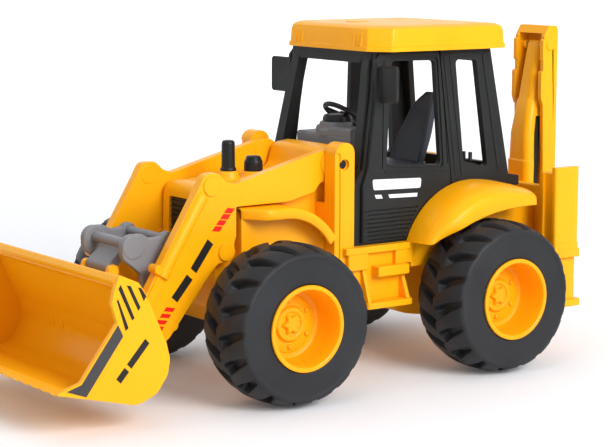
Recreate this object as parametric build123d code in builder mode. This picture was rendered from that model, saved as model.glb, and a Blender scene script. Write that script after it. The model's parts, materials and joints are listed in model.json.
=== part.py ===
from build123d import *
import os

os.makedirs("parts", exist_ok=True)

# Toy backhoe loader. Millimetres, +X towards the loader bucket, +Y to the left, +Z up.
# Side sections are written from the front axle line; FRONT_AXLE_X moves them so that the
# origin falls under the middle of the whole length.

# ---------------------------------------------------------------- driving dimensions
FRONT_AXLE_X = 62.5
WHEELBASE = 150.0
AXLE_Z = 45.0
AXLE_R = 2.5
AXLE_BORE_R = 2.56
TYRE_R = 45.0
TREAD_R = 41.6
TYRE_IN = 54.0
TYRE_OUT = 94.0
RIM_R = 23.5
RIM_SEAT_R = 22.0
LUGS = 18

TUB_HALF = 27.0
DECK_Z = 62.0
SILL_Z = 77.5
HOOD_HALF = 28.0
BODY_HALF = 44.0
CAB_HALF = 48.3
TOWER_IN = 37.3
TOWER_OUT = 48.0
TOWER_FRONT = -52.7
TOWER_REAR = -66.0
TOWER_PIVOT = (-59.0, 125.5)
TOWER_PIN_R = 3.0

ARM_IN = 30.0
ARM_OUT = 36.0
BUCKET_PIVOT = (68.0, 36.0)
YOKE_PIVOT = (60.0, 50.0)
LINK_TOP = (66.0, 87.0)
LINK_LOW = (LINK_TOP[0] + BUCKET_PIVOT[0] - YOKE_PIVOT[0],
            LINK_TOP[1] + BUCKET_PIVOT[1] - YOKE_PIVOT[1])
CROSS_TUBE = (49.0, 43.0)
SHAFT_R = 2.5
RUN_R = 2.56
BUCKET_HALF = 80.0
BUCKET_WALL = 3.0

ROOF_Z = 188.6
FRAME_FRONT = -205.0
FRAME_REAR = -212.0
FRAME_HALF = 60.0
FRAME_LOW = 42.0
FRAME_TOP = 103.5
SWING_X = -220.0
SWING_PIN_R = 3.0
BOOM_PIVOT = (-237.0, 60.0)
DIPPER_PIVOT = (-248.3, 186.0)
HOE_PIVOT = (-249.0, 84.0)
HOE_PIN_R = 2.0
HOE_RUN_R = 2.05
BOOM_HALF = 10.0
DIPPER_IN = 10.6
DIPPER_OUT = 13.6


def fx(x):
    """Lengthwise position measured from the front axle line."""
    return x + FRONT_AXLE_X


def sec(*points):
    """Side-section corners measured from the front axle line and the ground."""
    return [(fx(x), z) for x, z in points]


def side_plane(y):
    """Lengthwise upright sketch plane at y; sketches on it grow towards smaller y."""
    return Plane(origin=(0, y, 0), x_dir=(1, 0, 0), z_dir=(0, -1, 0))


def front_plane(x):
    """Crosswise upright sketch plane; local axes are y and z, growth is towards +X."""
    return Plane(origin=(fx(x), 0, 0), x_dir=(0, 1, 0), z_dir=(1, 0, 0))


def level(z):
    """Horizontal sketch plane at height z."""
    return Plane.XY.offset(z)


def mirrored(source, label):
    """The same sub-part on the other side of the lengthwise mid-plane."""
    with BuildPart() as twin:
        mirror(source.part, about=Plane.XZ)
    twin.part.label = label
    return twin


# ---------------------------------------------------------------- chassis
with BuildPart() as chassis_base:
    with BuildSketch(side_plane(TUB_HALF)) as tub_side:
        Polygon(*sec((12, 62), (12, 46), (2, 33), (-62, 33), (-94, 40), (-122, 29),
                     (-150, 24.5), (-178, 29), (-205, 42), (-205, 62)), align=None)
        fillet(tub_side.vertices().filter_by(lambda v: v.Y < 47), radius=6)
    extrude(amount=2 * TUB_HALF)
    with BuildSketch(side_plane(TUB_HALF)):
        with Locations(*sec((0, AXLE_Z), (-WHEELBASE, AXLE_Z))):
            Circle(AXLE_BORE_R)
    extrude(amount=2 * TUB_HALF, mode=Mode.SUBTRACT)
chassis_base.part.label = "chassis_base"

with BuildPart() as platform:
    with BuildSketch(side_plane(BODY_HALF)):
        Polygon(*sec((TOWER_REAR, DECK_Z), (TOWER_REAR, SILL_Z), (-126, SILL_Z),
                     (-126, 100), (-192, 100), (-205, 90), (-205, DECK_Z)), align=None)
    extrude(amount=2 * BODY_HALF)
platform.part.label = "platform"

HOOD_FRONT = 16.5
STACK_X = -11.3
CAP_X = -28.8
with BuildPart() as hood:
    with BuildSketch(side_plane(HOOD_HALF)) as hood_side:
        Polygon(*sec((HOOD_FRONT, DECK_Z), (HOOD_FRONT - 1.5, 114.2), (-56, 117),
                     (-60, 133.5), (-72, 133.5), (-72, SILL_Z), (TOWER_REAR, SILL_Z),
                     (TOWER_REAR, DECK_Z)), align=None)
        fillet(hood_side.vertices().sort_by(Axis.X)[-2:].sort_by(Axis.Y)[-1], radius=7)
    extrude(amount=2 * HOOD_HALF)
    with BuildSketch(side_plane(HOOD_HALF - 3)):
        Polygon(*sec((HOOD_FRONT - 5, DECK_Z), (HOOD_FRONT - 6, 108), (-56, 112),
                     (-62, 112), (-62, DECK_Z)), align=None)
    extrude(amount=2 * HOOD_HALF - 6, mode=Mode.SUBTRACT)
    fillet(hood.edges().filter_by(Axis.X).sort_by(Axis.Z)[-2:], radius=4)
    with BuildSketch(level(112)):
        with Locations((fx(STACK_X), 0)):
            Circle(6.4)
    extrude(amount=8.7)
    with BuildSketch(level(112)):
        with Locations((fx(CAP_X), 0)):
            Circle(8.2)
    extrude(amount=7.4)
    with BuildSketch(front_plane(HOOD_FRONT - 3)):
        with Locations((0, 88.5)):
            RectangleRounded(42, 35, 2)
    extrude(amount=4, mode=Mode.SUBTRACT)
    with BuildSketch(level(118)):
        with Locations((fx(3.5), 0)):
            Rectangle(0.8, 2 * HOOD_HALF)
    extrude(amount=-4.3, mode=Mode.SUBTRACT)
hood.part.label = "hood"

LOUVRES = 9
with BuildPart() as grille:
    with BuildSketch(front_plane(HOOD_FRONT - 3)):
        with Locations((0, 88.5)):
            RectangleRounded(41.6, 34.6, 1.8)
    extrude(amount=1.0)
    with BuildSketch(front_plane(HOOD_FRONT - 2)):
        with Locations((0, 88.5)):
            with GridLocations(0, 3.6, 1, LOUVRES):
                Rectangle(39, 1.9)
    extrude(amount=1.1)
grille.part.label = "grille"

with BuildPart() as exhaust_stack:
    with BuildSketch(Plane.XZ):
        with BuildLine():
            Polyline((0, 0), (4.7, 0), (4.7, 1.4), (4.0, 2.0), (3.8, 16.2), (3.0, 17.4),
                     (2.4, 17.4), (2.4, 12), (0, 12), close=True)
        make_face()
    revolve(axis=Axis.Z)
exhaust_stack.part.locate(Location((fx(STACK_X), 0, 120.7)))
exhaust_stack.part.label = "exhaust_stack"

with BuildPart() as air_cleaner_cap:
    with BuildSketch(Plane.XZ):
        with BuildLine():
            Polyline((0, 0), (5.6, 0), (5.6, 1.2), (4.9, 6.2), (3.9, 8.2), (0, 8.8), close=True)
        make_face()
    revolve(axis=Axis.Z)
air_cleaner_cap.part.locate(Location((fx(CAP_X), 0, 119.4)))
air_cleaner_cap.part.label = "air_cleaner_cap"

TOWER_TOP = 138.0
SLOT_FLOOR = 103.0
with BuildPart() as tower_left:
    with BuildSketch(side_plane(TOWER_OUT)) as tower_side:
        Polygon(*sec((TOWER_FRONT, DECK_Z), (TOWER_FRONT, TOWER_TOP), (TOWER_REAR, TOWER_TOP),
                     (TOWER_REAR, DECK_Z)), align=None)
        fillet(tower_side.vertices().group_by(Axis.Y)[-1], radius=6.6)
    extrude(amount=TOWER_OUT - TOWER_IN)
    with BuildSketch(side_plane(TOWER_IN)):
        Polygon(*sec((TOWER_FRONT, DECK_Z), (TOWER_FRONT, SLOT_FLOOR),
                     (TOWER_REAR, SLOT_FLOOR), (TOWER_REAR, DECK_Z)), align=None)
    extrude(amount=TOWER_IN - HOOD_HALF)
    with BuildSketch(side_plane(TOWER_OUT)):
        with Locations(*sec(TOWER_PIVOT)):
            Circle(TOWER_PIN_R)
    extrude(amount=TOWER_OUT - TOWER_IN, mode=Mode.SUBTRACT)
tower_left.part.label = "tower_left"
tower_right = mirrored(tower_left, "tower_right")

PIN_LENGTH = TOWER_OUT - ARM_IN - 0.4
with BuildPart() as tower_pins:
    with BuildSketch(side_plane(TOWER_OUT + 0.2)):
        with Locations(*sec(TOWER_PIVOT)):
            Circle(TOWER_PIN_R)
    extrude(amount=PIN_LENGTH)
    mirror(about=Plane.XZ)
tower_pins.part.label = "tower_pins"

FENDER_TOP = 104.2
FENDER_LIP = 6.3
FENDER_OUT = 50.0
with BuildPart() as front_fender_left:
    with BuildSketch(side_plane(FENDER_OUT)):
        with BuildLine():
            Line(*sec((4.5, FENDER_TOP), (-18, FENDER_TOP)))
            ThreePointArc(*sec((-18, FENDER_TOP), (-38, 99.8), (TOWER_FRONT, 90.5)))
            Polyline(*sec((TOWER_FRONT, 90.5), (TOWER_FRONT, 70), (-49, 70), (-46, 84.5)))
            ThreePointArc(*sec((-46, 84.5), (-34, 93.5), (-18, FENDER_TOP - FENDER_LIP)))
            Polyline(*sec((-18, FENDER_TOP - FENDER_LIP), (4.5, FENDER_TOP - FENDER_LIP),
                          (4.5, FENDER_TOP)))
        make_face()
    extrude(amount=FENDER_OUT - HOOD_HALF)
    with BuildSketch(level(60)):
        Polygon((fx(4.6), TOWER_IN), (fx(-6), FENDER_OUT + 0.1), (fx(6), FENDER_OUT + 0.1),
                align=None)
    extrude(amount=50, mode=Mode.SUBTRACT)
    fillet(front_fender_left.edges().filter_by(GeomType.LINE).filter_by(Axis.X)
           .group_by(Axis.Z)[-1].sort_by(Axis.Y)[-1], radius=1.5)
front_fender_left.part.label = "front_fender_left"
front_fender_right = mirrored(front_fender_left, "front_fender_right")

FENDER_R = 50.8
REAR_OUT = 75.0
with BuildPart() as rear_fender_left:
    with BuildSketch(side_plane(REAR_OUT)):
        with BuildLine():
            ThreePointArc(*sec((-104, 78), (-116, 95.9), (-152, 60 + FENDER_R)))
            Polyline(*sec((-152, 60 + FENDER_R), (-187, 104.2), (-187, 96)))
            ThreePointArc(*sec((-187, 96), (-150, 95.2), (-109.5, 78)))
            Line(*sec((-109.5, 78), (-104, 78)))
        make_face()
    extrude(amount=REAR_OUT - CAB_HALF)
    with BuildSketch(front_plane(-190)):
        Polygon((CAB_HALF, 111.2), (58, 110.2), (70, 107), (REAR_OUT, 102), (REAR_OUT + 1, 102),
                (REAR_OUT + 1, 120), (CAB_HALF, 120), align=None)
    extrude(amount=90, mode=Mode.SUBTRACT)
    with BuildSketch(side_plane(CAB_HALF)):
        Polygon(*sec((-108, DECK_Z), (-108, 78), (-126, 98.5), (-192, 98.5), (-205, 90),
                     (-205, DECK_Z)), align=None)
    extrude(amount=CAB_HALF - BODY_HALF)
rear_fender_left.part.label = "rear_fender_left"
rear_fender_right = mirrored(rear_fender_left, "rear_fender_right")

STEP_OUT = 57.0
with BuildPart() as side_step_left:
    with BuildSketch(side_plane(TOWER_OUT)):
        Polygon(*sec((TOWER_REAR, SILL_Z), (TOWER_REAR, 58), (-72, 46), (-72, 41.5), (-102, 41.5),
                     (-102, 60), (-108, 66), (-108, SILL_Z)), align=None)
    extrude(amount=TOWER_OUT - BODY_HALF)
    with BuildSketch(level(41.5)):
        Polygon((fx(-70), TOWER_OUT), (fx(-70), STEP_OUT), (fx(-103), STEP_OUT),
                (fx(-103), TOWER_OUT), align=None)
    extrude(amount=4)
    with BuildSketch(level(59.5)):
        Polygon((fx(-79), TOWER_OUT), (fx(-79), 55), (fx(-102), 55), (fx(-102), TOWER_OUT),
                align=None)
    extrude(amount=6)
    with BuildSketch(level(73.5)):
        Polygon((fx(-58), TOWER_OUT), (fx(-58), 51.5), (fx(-108), 51.5), (fx(-108), TOWER_OUT),
                align=None)
    extrude(amount=4)
    with BuildSketch(level(64)):
        Polygon((fx(-60), TOWER_OUT), (fx(-60), 51), (fx(-75), 51), (fx(-75), TOWER_OUT),
                align=None)
    extrude(amount=9.5)
    with BuildSketch(front_plane(-102)):
        Polygon((TOWER_OUT, 45), (STEP_OUT - 1, 45), (TOWER_OUT, 59.5), align=None)
    extrude(amount=3)
    with BuildSketch(front_plane(-73)):
        Polygon((TOWER_OUT, 45), (STEP_OUT - 1, 45), (51, 64), (TOWER_OUT, 64), align=None)
    extrude(amount=3)
side_step_left.part.label = "side_step_left"
side_step_right = mirrored(side_step_left, "side_step_right")

# ---------------------------------------------------------------- cab
WALL_IN = BODY_HALF
WALL_OUT = 46.3
LEAN_Z = 112.0
LEAN = 5.7
DOOR_WINDOW = sec((-94.2, 183), (-129.2, 182.3), (-131, 121), (-89.7, 123.3))
REAR_WINDOW = sec((-144.5, 182.3), (-160.8, 181.8), (-167, 117), (-148, 122))


def cab_end(half, low=SILL_Z):
    """End-on outline of the cab, upright up to LEAN_Z and leaning inwards above it."""
    return [(-half, low), (-half, LEAN_Z), (LEAN - half, ROOF_Z), (half - LEAN, ROOF_Z),
            (half, LEAN_Z), (half, low)]


with BuildPart() as cab_frame:
    with BuildSketch(side_plane(WALL_OUT)):
        Polygon(*sec((TOWER_REAR, SILL_Z), (TOWER_REAR, 112), (-74, 121), (-82, 162),
                     (-86, ROOF_Z), (-172, ROOF_Z), (-183.5, 112), (-190, 104.5), (-190, 100.2),
                     (-126, 100.2), (-106, SILL_Z)), align=None)
    extrude(amount=2 * WALL_OUT)
    with BuildSketch(front_plane(-195)):
        Polygon(*cab_end(WALL_OUT), align=None)
    extrude(amount=130, mode=Mode.INTERSECT)
    with BuildSketch(side_plane(CAB_HALF)):
        Polygon(*sec((-132.8, ROOF_Z), (-172, ROOF_Z), (-183.5, 112), (-191, 109),
                     (-191, 104.6), (-187.4, 104.4), (-152, 111), (-138.6, 109.6)), align=None)
    extrude(amount=2 * CAB_HALF)
    with BuildSketch(front_plane(-195)):
        Polygon(*cab_end(CAB_HALF), align=None)
    extrude(amount=130, mode=Mode.INTERSECT)
    with BuildSketch(front_plane(-195)):
        Polygon(*cab_end(WALL_IN, SILL_Z - 1), align=None)
    extrude(amount=130, mode=Mode.SUBTRACT)
    with BuildSketch(side_plane(CAB_HALF)) as window_cut:
        Polygon(*DOOR_WINDOW, align=None)
        Polygon(*REAR_WINDOW, align=None)
        fillet(window_cut.vertices(), radius=2.5)
    extrude(amount=2 * CAB_HALF, mode=Mode.SUBTRACT)
    with BuildSketch(level(183.0)):
        Polygon((fx(-83.5), 35.5), (fx(-91), 40.2), (fx(-172), 40.2), (fx(-172), -40.2),
                (fx(-91), -40.2), (fx(-83.5), -35.5), align=None)
        Polygon((fx(-88), 32), (fx(-95), 36.5), (fx(-166), 36.5), (fx(-166), -36.5),
                (fx(-95), -36.5), (fx(-88), -32), align=None, mode=Mode.SUBTRACT)
    extrude(amount=ROOF_Z - 183.0)
    for sign in (1, -1):
        with BuildSketch(level(104)):
            with Locations((fx(-73.5), 40.8 * sign)):
                Rectangle(7, 6)
        with BuildSketch(level(184)):
            with Locations((fx(-87.3), 34.0 * sign)):
                Rectangle(7, 6)
        loft()
    with BuildSketch(front_plane(-79)):
        with Locations((0, 118)):
            Rectangle(82, 26)
    extrude(amount=6)
    with BuildSketch(side_plane(WALL_IN)):
        Polygon(*sec((-172, ROOF_Z), (-168, ROOF_Z), (-179.5, 112), (-183, 104), (-183, 100.2),
                     (-187, 100.2), (-187, 104), (-183.5, 112)), align=None)
    extrude(amount=2 * WALL_IN)
    with BuildSketch(front_plane(-192)):
        Polygon((-37, 118), (-32.5, 180), (32.5, 180), (37, 118), align=None)
    extrude(amount=30, mode=Mode.SUBTRACT)
    with BuildSketch(front_plane(-195)):
        Polygon(*cab_end(CAB_HALF), align=None)
    extrude(amount=130, mode=Mode.INTERSECT)
cab_frame.part.label = "cab_frame"

PANEL_GROOVES = 7
with BuildPart() as door_left:
    with BuildSketch(side_plane(CAB_HALF)):
        with BuildLine():
            Polyline(*sec((-104.3, 79.2), (-71.5, 79.2), (-71.5, 112), (-75.5, 122), (-83.3, 163),
                          (-84.5, 183.5), (-88, 187.4), (-132, 187.4), (-138, 109.8)))
            ThreePointArc(*sec((-138, 109.8), (-117, 97.8), (-104.3, 79.2)))
        make_face()
    extrude(amount=CAB_HALF)
    with BuildSketch(front_plane(-195)):
        Polygon(*cab_end(CAB_HALF), align=None)
    extrude(amount=130, mode=Mode.INTERSECT)
    with BuildSketch(front_plane(-195)):
        Polygon(*cab_end(WALL_OUT, SILL_Z - 1), align=None)
    extrude(amount=130, mode=Mode.SUBTRACT)
    with BuildSketch(side_plane(CAB_HALF)) as door_window:
        Polygon(*DOOR_WINDOW, align=None)
        fillet(door_window.vertices(), radius=2.5)
    extrude(amount=CAB_HALF, mode=Mode.SUBTRACT)
    with BuildSketch(side_plane(CAB_HALF)):
        with Locations(*sec((-87.5, 89.4))):
            with GridLocations(0, 2.7, 1, PANEL_GROOVES):
                Rectangle(29, 0.9)
    extrude(amount=0.8, mode=Mode.SUBTRACT)
door_left.part.label = "door_left"
door_right = mirrored(door_left, "door_right")

ROOF_HALF = 50.0
ROOF_TOP = 203.6
with BuildPart() as roof:
    with BuildSketch(level(ROOF_Z)):
        Polygon((fx(-82), 37.8), (fx(-91.2), ROOF_HALF), (fx(-176), ROOF_HALF),
                (fx(-180), 46), (fx(-180), -46), (fx(-176), -ROOF_HALF),
                (fx(-91.2), -ROOF_HALF), (fx(-82), -37.8), align=None)
    extrude(amount=ROOF_TOP - ROOF_Z)
    fillet(roof.faces().sort_by(Axis.Z)[-1].edges(), radius=3.2)
    with BuildSketch(level(ROOF_Z)):
        Polygon((fx(-92), 30), (fx(-98), 36), (fx(-164), 36), (fx(-164), -36), (fx(-98), -36),
                (fx(-92), -30), align=None)
    extrude(amount=11, mode=Mode.SUBTRACT)
    with BuildSketch(level(ROOF_TOP)):
        with Locations((fx(-104), 0)):
            Circle(7)
    extrude(amount=0.8)
roof.part.label = "roof"

MIRROR_IN = 44.9
MIRROR_OUT = 60.0
STUB_LOW = 175.0
STUB_HIGH = 179.0


def side_y(z):
    """Half width of the leaning cab side at height z."""
    return CAB_HALF - LEAN * (z - LEAN_Z) / (ROOF_Z - LEAN_Z)


with BuildPart() as mirror_left:
    with BuildSketch(front_plane(-90)):
        with Locations(((MIRROR_IN + MIRROR_OUT) / 2, 170.8)):
            RectangleRounded(MIRROR_OUT - MIRROR_IN, 21.5, 2.5)
    extrude(amount=5)
    with BuildSketch(front_plane(-89.5)):
        Polygon((side_y(STUB_LOW), STUB_LOW), (47, STUB_LOW), (47, STUB_HIGH),
                (side_y(STUB_HIGH), STUB_HIGH), align=None)
    extrude(amount=4)
mirror_left.part.label = "mirror_left"
mirror_right = mirrored(mirror_left, "mirror_right")

COLUMN_FOOT = (-88.0, 139.5)
COLUMN_LENGTH = 9.6
COLUMN_LEAN = 35.0
WHEEL_R = 12.5
WHEEL_TUBE = 1.6
COLUMN_PLANE = Plane(origin=(fx(COLUMN_FOOT[0]), 0, COLUMN_FOOT[1])).rotated((0, -COLUMN_LEAN, 0))
with BuildPart() as dashboard:
    with BuildSketch(side_plane(27)):
        Polygon(*sec((-79.1, 110), (-79.1, 140), (-88, 141.5), (-99, 134), (-99, 110)), align=None)
    extrude(amount=54)
    with BuildSketch(side_plane(16)):
        Polygon(*sec((-79.1, 138), (-79.1, 143), (-86, 144.5), (-102, 138), (-102, 128),
                     (-99, 128), (-99, 134)), align=None)
    extrude(amount=32)
    with BuildSketch(COLUMN_PLANE):
        Circle(3.2)
    extrude(amount=COLUMN_LENGTH)
dashboard.part.label = "dashboard"

with BuildPart() as steering_wheel:
    with BuildSketch(COLUMN_PLANE.offset(COLUMN_LENGTH)):
        Circle(WHEEL_R + WHEEL_TUBE)
        Circle(WHEEL_R - WHEEL_TUBE, mode=Mode.SUBTRACT)
        Circle(3.6)
        with PolarLocations(WHEEL_R / 2, 3, start_angle=180):
            Rectangle(WHEEL_R, 2.4)
    extrude(amount=2.8)
steering_wheel.part.label = "steering_wheel"

with BuildPart() as seat:
    with BuildSketch(side_plane(18)):
        Polygon(*sec((-116, 110), (-116, 116), (-120, 119), (-146, 118), (-150, 110)),
                align=None)
    extrude(amount=36)
    with BuildSketch(side_plane(15)):
        Polygon(*sec((-138, 112), (-147, 134), (-157, 157), (-161, 159.5), (-166, 156), (-150, 110)),
                align=None)
    extrude(amount=30)
    with BuildSketch(front_plane(-170)):
        Polygon((15, 120), (14, 134), (8, 158), (8, 170), (20, 170), (20, 120), align=None)
        Polygon((-15, 120), (-14, 134), (-8, 158), (-8, 170), (-20, 170), (-20, 120), align=None)
    extrude(amount=45, mode=Mode.SUBTRACT)
    with BuildSketch(level(100)):
        with Locations((fx(-134), 0)):
            Rectangle(14, 22)
    extrude(amount=10)
seat.part.label = "seat"

with BuildPart() as lever_console:
    with BuildSketch(side_plane(38)):
        Polygon(*sec((-160, 100), (-160, 116), (-164, 119.5), (-172, 118), (-174, 100)),
                align=None)
    extrude(amount=14)
    with BuildSketch(level(117)):
        with Locations((fx(-165), 28), (fx(-165), 34)):
            Circle(1.2)
    extrude(amount=8)
lever_console.part.label = "lever_console"

# ---------------------------------------------------------------- wheels
with BuildPart() as axle_front:
    with BuildSketch(side_plane(TYRE_OUT - 14)):
        with Locations(*sec((0, AXLE_Z))):
            Circle(AXLE_R)
    extrude(amount=2 * (TYRE_OUT - 14))
axle_front.part.label = "axle_front"

with BuildPart() as axle_rear:
    with BuildSketch(side_plane(TYRE_OUT - 14)):
        with Locations(*sec((-WHEELBASE, AXLE_Z))):
            Circle(AXLE_R)
    extrude(amount=2 * (TYRE_OUT - 14))
axle_rear.part.label = "axle_rear"

# Wheel sections are drawn with the radius along local x and the distance from the
# vehicle mid-plane along local y, then turned about the axle.
WHEEL_SECTION = Plane(origin=(fx(0), 0, AXLE_Z), x_dir=(1, 0, 0), z_dir=(0, 0, 1))
FRONT_AXLE = Axis((fx(0), 0, AXLE_Z), (0, 1, 0))
with BuildPart() as rim_front_left:
    with BuildSketch(WHEEL_SECTION):
        with BuildLine():
            Polyline((AXLE_R, 56), (7, 56), (7, 72), (RIM_SEAT_R - 3, 72), (RIM_SEAT_R - 1.8, 56),
                     (RIM_SEAT_R, 56), (RIM_SEAT_R, 92.5), (RIM_R, 92.5), (RIM_R, TYRE_OUT),
                     (RIM_SEAT_R - 0.4, TYRE_OUT), (RIM_SEAT_R - 2.2, 76), (11, 76), (9.5, 77.5),
                     (7.5, 77.5), (6, 80.5), (AXLE_R, 80.5), close=True)
        make_face()
    revolve(axis=FRONT_AXLE)
    with BuildSketch(side_plane(75)):
        with Locations(*sec((0, AXLE_Z))):
            with PolarLocations(13.6, 6):
                Circle(1.1)
    extrude(amount=-2.2)
rim_front_left.part.label = "rim_front_left"

LUG_FOOT = 38.0
with BuildPart() as lug_pair:
    with BuildSketch(level(AXLE_Z + LUG_FOOT)):
        Polygon((fx(-2.2), 72.5), (fx(2.4), 72.5), (fx(4.6), 82), (fx(4.6), 90), (fx(-0.6), 90),
                (fx(-0.6), 83), align=None)
        Polygon((fx(5.0), 75.5), (fx(9.6), 75.5), (fx(12.0), 66), (fx(12.0), 58), (fx(6.8), 58),
                (fx(6.8), 65), align=None)
    extrude(amount=8)
    with BuildSketch(side_plane(TYRE_OUT)):
        with Locations(*sec((0, AXLE_Z))):
            Circle(TYRE_R)
    extrude(amount=TYRE_OUT - TYRE_IN, mode=Mode.INTERSECT)

lug_ring = [lug_pair.part.rotate(FRONT_AXLE, k * 360 / LUGS) for k in range(LUGS)]
with BuildPart() as tyre_front_left:
    with BuildSketch(WHEEL_SECTION):
        with BuildLine():
            Polyline((RIM_SEAT_R, TYRE_IN), (36, TYRE_IN), (39.5, 57), (TREAD_R, 62),
                     (TREAD_R, 86), (39.5, 91), (38, TYRE_OUT), (RIM_R, TYRE_OUT),
                     (RIM_R, 92.5), (RIM_SEAT_R, 92.5), close=True)
        make_face()
    revolve(axis=FRONT_AXLE)
    add(lug_ring)
tyre_front_left.part.label = "tyre_front_left"


def moved_back(source, label):
    """The same wheel piece on the rear axle."""
    with BuildPart() as twin:
        add(source.part.moved(Location((-WHEELBASE, 0, 0))))
    twin.part.label = label
    return twin


rim_front_right = mirrored(rim_front_left, "rim_front_right")
rim_rear_left = moved_back(rim_front_left, "rim_rear_left")
rim_rear_right = moved_back(rim_front_right, "rim_rear_right")
tyre_front_right = mirrored(tyre_front_left, "tyre_front_right")
tyre_rear_left = moved_back(tyre_front_left, "tyre_rear_left")
tyre_rear_right = moved_back(tyre_front_right, "tyre_rear_right")

# ---------------------------------------------------------------- front loader
with BuildPart() as loader_arm_left:
    with BuildSketch(side_plane(ARM_OUT)):
        Polygon(*sec((-51, 134), (-19, 124.8), (8, 117.6), (15, 120), (20, 124.6), (27, 124.6),
                     (31, 119), (72.5, 51.4), (75.4, 43), (68, 36), (61.5, 29.3), (51, 35),
                     (24, 70), (19, 74.5), (12.5, 74.6), (8.7, 79), (8.7, 85), (7.4, 89),
                     (7.2, 105.2), (-28.6, 105.4), (-46.5, 109.6), (-50, 114), (-56, 116.5)),
                align=None)
        with Locations(*sec(TOWER_PIVOT)):
            Circle(8.5)
        with Locations(*sec(BUCKET_PIVOT)):
            Circle(9.3)
    extrude(amount=ARM_OUT - ARM_IN)
    with BuildSketch(side_plane(ARM_OUT)):
        Polygon(*sec((58.6, 76.8), (63, 73.6), (58.8, 69.7), (54, 70), (54, 76)), align=None)
    extrude(amount=ARM_OUT - ARM_IN)
    with BuildSketch(side_plane(ARM_OUT)):
        with Locations(*sec(TOWER_PIVOT)):
            Circle(TOWER_PIN_R + 0.06)
        with Locations(*sec(BUCKET_PIVOT, YOKE_PIVOT)):
            Circle(SHAFT_R)
        with Locations(*sec(CROSS_TUBE)):
            Circle(2.0)
    extrude(amount=ARM_OUT - ARM_IN, mode=Mode.SUBTRACT)
loader_arm_left.part.label = "loader_arm_left"
loader_arm_right = mirrored(loader_arm_left, "loader_arm_right")

with BuildPart() as arm_cross_tube:
    with BuildSketch(side_plane(ARM_OUT)):
        with Locations(*sec(CROSS_TUBE)):
            Circle(2.0)
    extrude(amount=2 * ARM_OUT)
    with BuildSketch(side_plane(ARM_IN)):
        with Locations(*sec(CROSS_TUBE)):
            Circle(3.5)
    extrude(amount=2 * ARM_IN)
arm_cross_tube.part.label = "arm_cross_tube"

SHAFT_END = 40.6
with BuildPart() as bucket_pivot_shaft:
    with BuildSketch(side_plane(SHAFT_END)):
        with Locations(*sec(BUCKET_PIVOT)):
            Circle(SHAFT_R)
    extrude(amount=2 * SHAFT_END)
bucket_pivot_shaft.part.label = "bucket_pivot_shaft"

with BuildPart() as yoke_pivot_shaft:
    with BuildSketch(side_plane(ARM_OUT)):
        with Locations(*sec(YOKE_PIVOT)):
            Circle(SHAFT_R)
    extrude(amount=2 * ARM_OUT)
yoke_pivot_shaft.part.label = "yoke_pivot_shaft"

LUG_SPANS = ((26.0, 29.4), (36.7, 40.2))
EYE_SPAN = (12.0, 15.5)
with BuildPart() as loader_bucket:
    with BuildSketch(side_plane(BUCKET_HALF)):
        Polygon(*sec((147, 25.7), (131.6, 30.1), (109.9, 58.4), (113.1, 68.7), (111.5, 75.8),
                     (108.3, 83.3), (105.5, 81), (97, 78.2), (93.4, 73), (80.6, 45),
                     (78.4, 36), (80, 28.5), (84.5, 21.5), (92, 15.5), (100.4, 13.8)), align=None)
    extrude(amount=2 * BUCKET_HALF)
    with BuildSketch(side_plane(BUCKET_HALF - BUCKET_WALL)):
        Polygon(*sec((150, 30), (141, 26.6), (101.5, 17), (94, 18.2), (86.8, 24), (83.2, 30),
                     (81.9, 36), (83.8, 44), (96.5, 71), (99.5, 75), (112, 79.5), (130, 84),
                     (150, 60)), align=None)
    extrude(amount=2 * (BUCKET_HALF - BUCKET_WALL), mode=Mode.SUBTRACT)
    for near, far in LUG_SPANS:
        for start in (far, -near):
            with BuildSketch(side_plane(start)):
                Polygon(*sec((62.5, 39.5), (65, 42.2), (84.2, 51.5), (81.8, 36.5), (81.6, 33.5),
                             (71, 29.8), (65, 29.8), (62.5, 33)), align=None)
            extrude(amount=far - near)
    for start in (EYE_SPAN[1], -EYE_SPAN[0]):
        with BuildSketch(side_plane(start)):
            Polygon(*sec((70, 70.5), (70, 75.5), (72.5, 78), (76.5, 77.5), (97.6, 76.4),
                         (88.6, 57)), align=None)
        extrude(amount=EYE_SPAN[1] - EYE_SPAN[0])
    with BuildSketch(side_plane(SHAFT_END)):
        with Locations(*sec(BUCKET_PIVOT)):
            Circle(RUN_R)
    extrude(amount=2 * SHAFT_END, mode=Mode.SUBTRACT)
    with BuildSketch(side_plane(EYE_SPAN[1])):
        with Locations(*sec(LINK_LOW)):
            Circle(2.0)
    extrude(amount=2 * EYE_SPAN[1], mode=Mode.SUBTRACT)
loader_bucket.part.label = "loader_bucket"

with BuildPart() as bucket_link_pin:
    with BuildSketch(side_plane(EYE_SPAN[1])):
        with Locations(*sec(LINK_LOW)):
            Circle(2.0)
    extrude(amount=2 * EYE_SPAN[1])
bucket_link_pin.part.label = "bucket_link_pin"

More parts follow.
